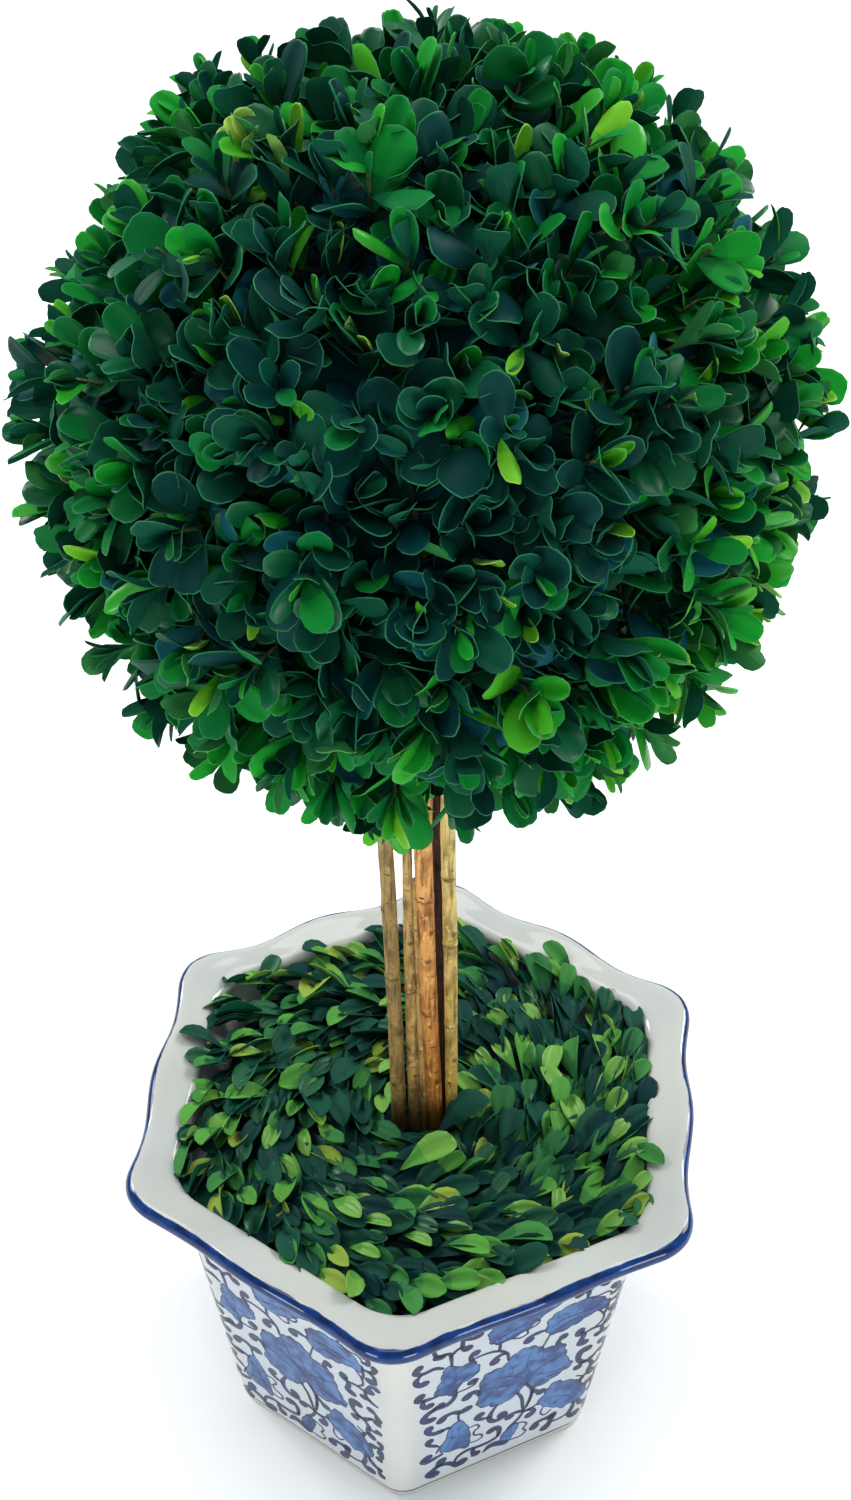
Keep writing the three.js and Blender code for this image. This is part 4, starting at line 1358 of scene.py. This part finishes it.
BED_SEED = 23
BED_FORMS = [
    (0.08, 0.2, 0.1, 0.04, 0.0), (0.18, 0.14, 0.16, 0.03, 0.02), (0.04, 0.3, 0.06, 0.02, 0.03),
    (0.22, 0.1, 0.22, 0.05, 0.0),
]
# How often each of the bed's greens is dealt. From the fresh tone on, leaves lie on top of the others, and
# most long ones are dark.
BED_TONE_WEIGHTS = (14, 18, 16, 12, 9, 9, 10, 11, 5)
BED_FRESH_TONE = 5
BED_DARK_TONE = 2
DARK_LONG_LEAVES = 0.6
# Short leaves are the usual ones
BED_SHORT_LENGTHS = (12.5, 18)
BED_LONG_LENGTHS = (18, 23)
BED_SHORT_LEAVES = 0.7
BED_LEAF_WIDTHS = (0.38, 0.52)
# How much chance turns a leaf round the bed and rolls it, and rolls a fresh one
BED_ANGLE_STRAY = 0.04
BED_ROLL_STRAY = 0.3
BED_FRESH_ROLL_STRAY = 0.36
# The share of the bed's area that is left free round the stems
BED_FREE_MIDDLE = 0.018
# How far out a leaf is splayed and how far out its top leans, each at the middle and at the rim
BED_SPLAY = (-0.4, 0.6)
BED_SPLAY_STRAY = 0.34
BED_LEAN = (-0.35, 0.5)
# How steeply leaves rise, and how much more steeply at the rim
BED_RISE = (0.08, 0.5)
BED_RIM_RISE = 0.12
# How deep a leaf's foot is set in the crest, how far chance moves it up or down, and how much higher it is at
# the rim, and when the leaf is a fresh one
BED_SUNK = 3.2
BED_HEIGHTS = (-2.0, 2.6)
BED_RIM_LIFT = 3.5
BED_FRESH_LIFT = (1.0, 2.4)
# The room kept between the stems and leaf tips, feet and middles
BED_TIP_ROOM = 1.0
BED_FOOT_ROOM = 0.5
BED_MIDDLE_ROOM = 2.5
# How far leaf tips may stand past the wall. Those that would go farther are drawn in and lifted, but a few
# are left free.
BED_PAST_WALL = (0.5, 2.5)
BED_DRAWN_IN_LIFT = 0.6
BED_FREE_LEAVES = 0.06
# How far the bed reaches to the inner wall's sides and to its corners
MOUTH_TO_SIDE = 85.5
MOUTH_TO_CORNER = 95
# Leaves that stand out in the bed: foot, tip, width, roll and tone. Two lie by the stems, and the others
# reach over the lip.
BED_FEATURES = [
    ((-7, -32, 144), (13, -21, 149), 11, 0.2, 7), ((7, -13, 142), (25, 1, 148), 13, -0.1, 2),
    ((-77, 27, 144), (-93, 29, 153), 7.5, 0.2, 2), ((-76, 20, 144), (-90, 17, 151.5), 7, -0.3, 3),
    ((78, -21, 144), (88, -34, 152), 7.5, 0.3, 5), ((61, 58, 145), (47, 68, 153), 7.5, 0.2, 6),
    ((62, 65, 146), (51, 76, 154), 7.5, -0.2, 5), ((-66, 58, 144), (-58, 70, 152), 7.5, 0.3, 3),
    ((78, 18, 144), (85, 31, 152), 7.5, 0.2, 4),
]


def mouth_reach(point):
    """How far the bed reaches to the planter's inner wall in a point's direction, along the rounded
    hexagon."""
    turn = math.remainder(azimuth_of(point) - PLANTER_TURN - HALF_SIDE_TURN, SIXTH_TURN)
    return min(MOUTH_TO_SIDE / math.cos(turn), MOUTH_TO_CORNER)


def grow_bed(draw):
    """Flat-lying leaves that swirl the same way round the stems, splayed out at the rim and in at the
    middle."""
    leaves = []
    for step in range(BED_LEAVES):
        angle = step * GOLDEN_ANGLE + draw.gauss(0, BED_ANGLE_STRAY)
        away = Vector((math.cos(angle), math.sin(angle), 0))
        share = math.sqrt(blend(BED_FREE_MIDDLE, 1, (step + 0.5) / BED_LEAVES))
        radius = share * mouth_reach(away)
        onward = Vector((-away.y, away.x, 0))
        splay = blend(*BED_SPLAY, eased(share, 0.1, 1.0)) + draw.gauss(0, BED_SPLAY_STRAY)
        along = onward * math.cos(splay) + away * math.sin(splay)
        rise = draw.uniform(*BED_RISE) + BED_RIM_RISE * eased(share, 0.75, 1.0)
        along.z = math.tan(rise)
        along.normalize()
        lengths = BED_SHORT_LENGTHS if draw.random() < BED_SHORT_LEAVES else BED_LONG_LENGTHS
        length = draw.uniform(*lengths)
        root = away * radius - along * length * 0.5
        root.z = bed_height(radius) - BED_SUNK + draw.uniform(*BED_HEIGHTS)
        root.z += BED_RIM_LIFT * eased(share, 0.7, 1.0)
        facing = (UP + away * blend(*BED_LEAN, share)).normalized()
        end = root + along * length
        rooms = ((end, BED_TIP_ROOM), (root, BED_FOOT_ROOM), ((root + end) / 2, BED_MIDDLE_ROOM))
        if any(near_stems(point, room) for point, room in rooms):
            continue
        over = math.hypot(end.x, end.y) - mouth_reach(end) - draw.uniform(*BED_PAST_WALL)
        if over > 0 and draw.random() > BED_FREE_LEAVES:
            shift = Vector((end.x, end.y, 0)).normalized() * over
            root -= shift
            root.z += BED_DRAWN_IN_LIFT
        tone = draw.choices(range(len(BED_GREENS)), BED_TONE_WEIGHTS)[0]
        if length > BED_LONG_LENGTHS[0] and draw.random() < DARK_LONG_LEAVES:
            tone = min(tone, BED_DARK_TONE)
        roll_stray = BED_ROLL_STRAY
        if tone >= BED_FRESH_TONE:
            root.z += draw.uniform(*BED_FRESH_LIFT)
            roll_stray = BED_FRESH_ROLL_STRAY
        roll = draw.gauss(0, roll_stray)
        axes = leaf_frame(along, facing, length, length * draw.uniform(*BED_LEAF_WIDTHS), roll)
        leaves.append((draw.randrange(len(BED_FORMS)), axes, root, tone))
    for root, end, width, roll, tone in BED_FEATURES:
        root = Vector(root)
        along = Vector(end) - root
        length = along.length
        axes = leaf_frame(along.normalized(), UP, length, width, roll)
        leaves.append((0, axes, root, tone))
    return leaves


def add_bed():
    greens = leaf_finishes("bed", BED_GREENS)
    # The bed's core is dark moss, tinted navy teal as painted shade of the gaps between the leaves
    add_bed_core(mossy_finish("bed_moss_and_shade", (8, 30, 32), (14, 44, 38), 300))
    forms = [LeafForm(*form) for form in BED_FORMS]
    leaves = grow_bed(random.Random(BED_SEED))
    join_leaves("bed_swirl_leaves", leaves, forms, BED_GREENS, greens, pale_margins=False)


def dress_planting_block():
    """The filling keeps its CAD mesh and gets a finish of dry foam."""
    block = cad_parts["planting_block"]
    block.data.materials.clear()
    block.data.materials.append(mossy_finish("planting_foam", (34, 40, 26), (62, 66, 44), 220))


add_camera()
add_light()
add_floor()
add_planter(glaze_finish())
add_painted_panels([
    cobalt_finish("cobalt_wash", (62, 106, 160), (10, 44, 104)),
    cobalt_finish("cobalt_line", (12, 38, 90), (2, 16, 56)),
    cobalt_finish("cobalt_vein", (30, 68, 126), (14, 44, 98)),
])
dress_planting_block()
add_stems()
add_bed()
add_ball()
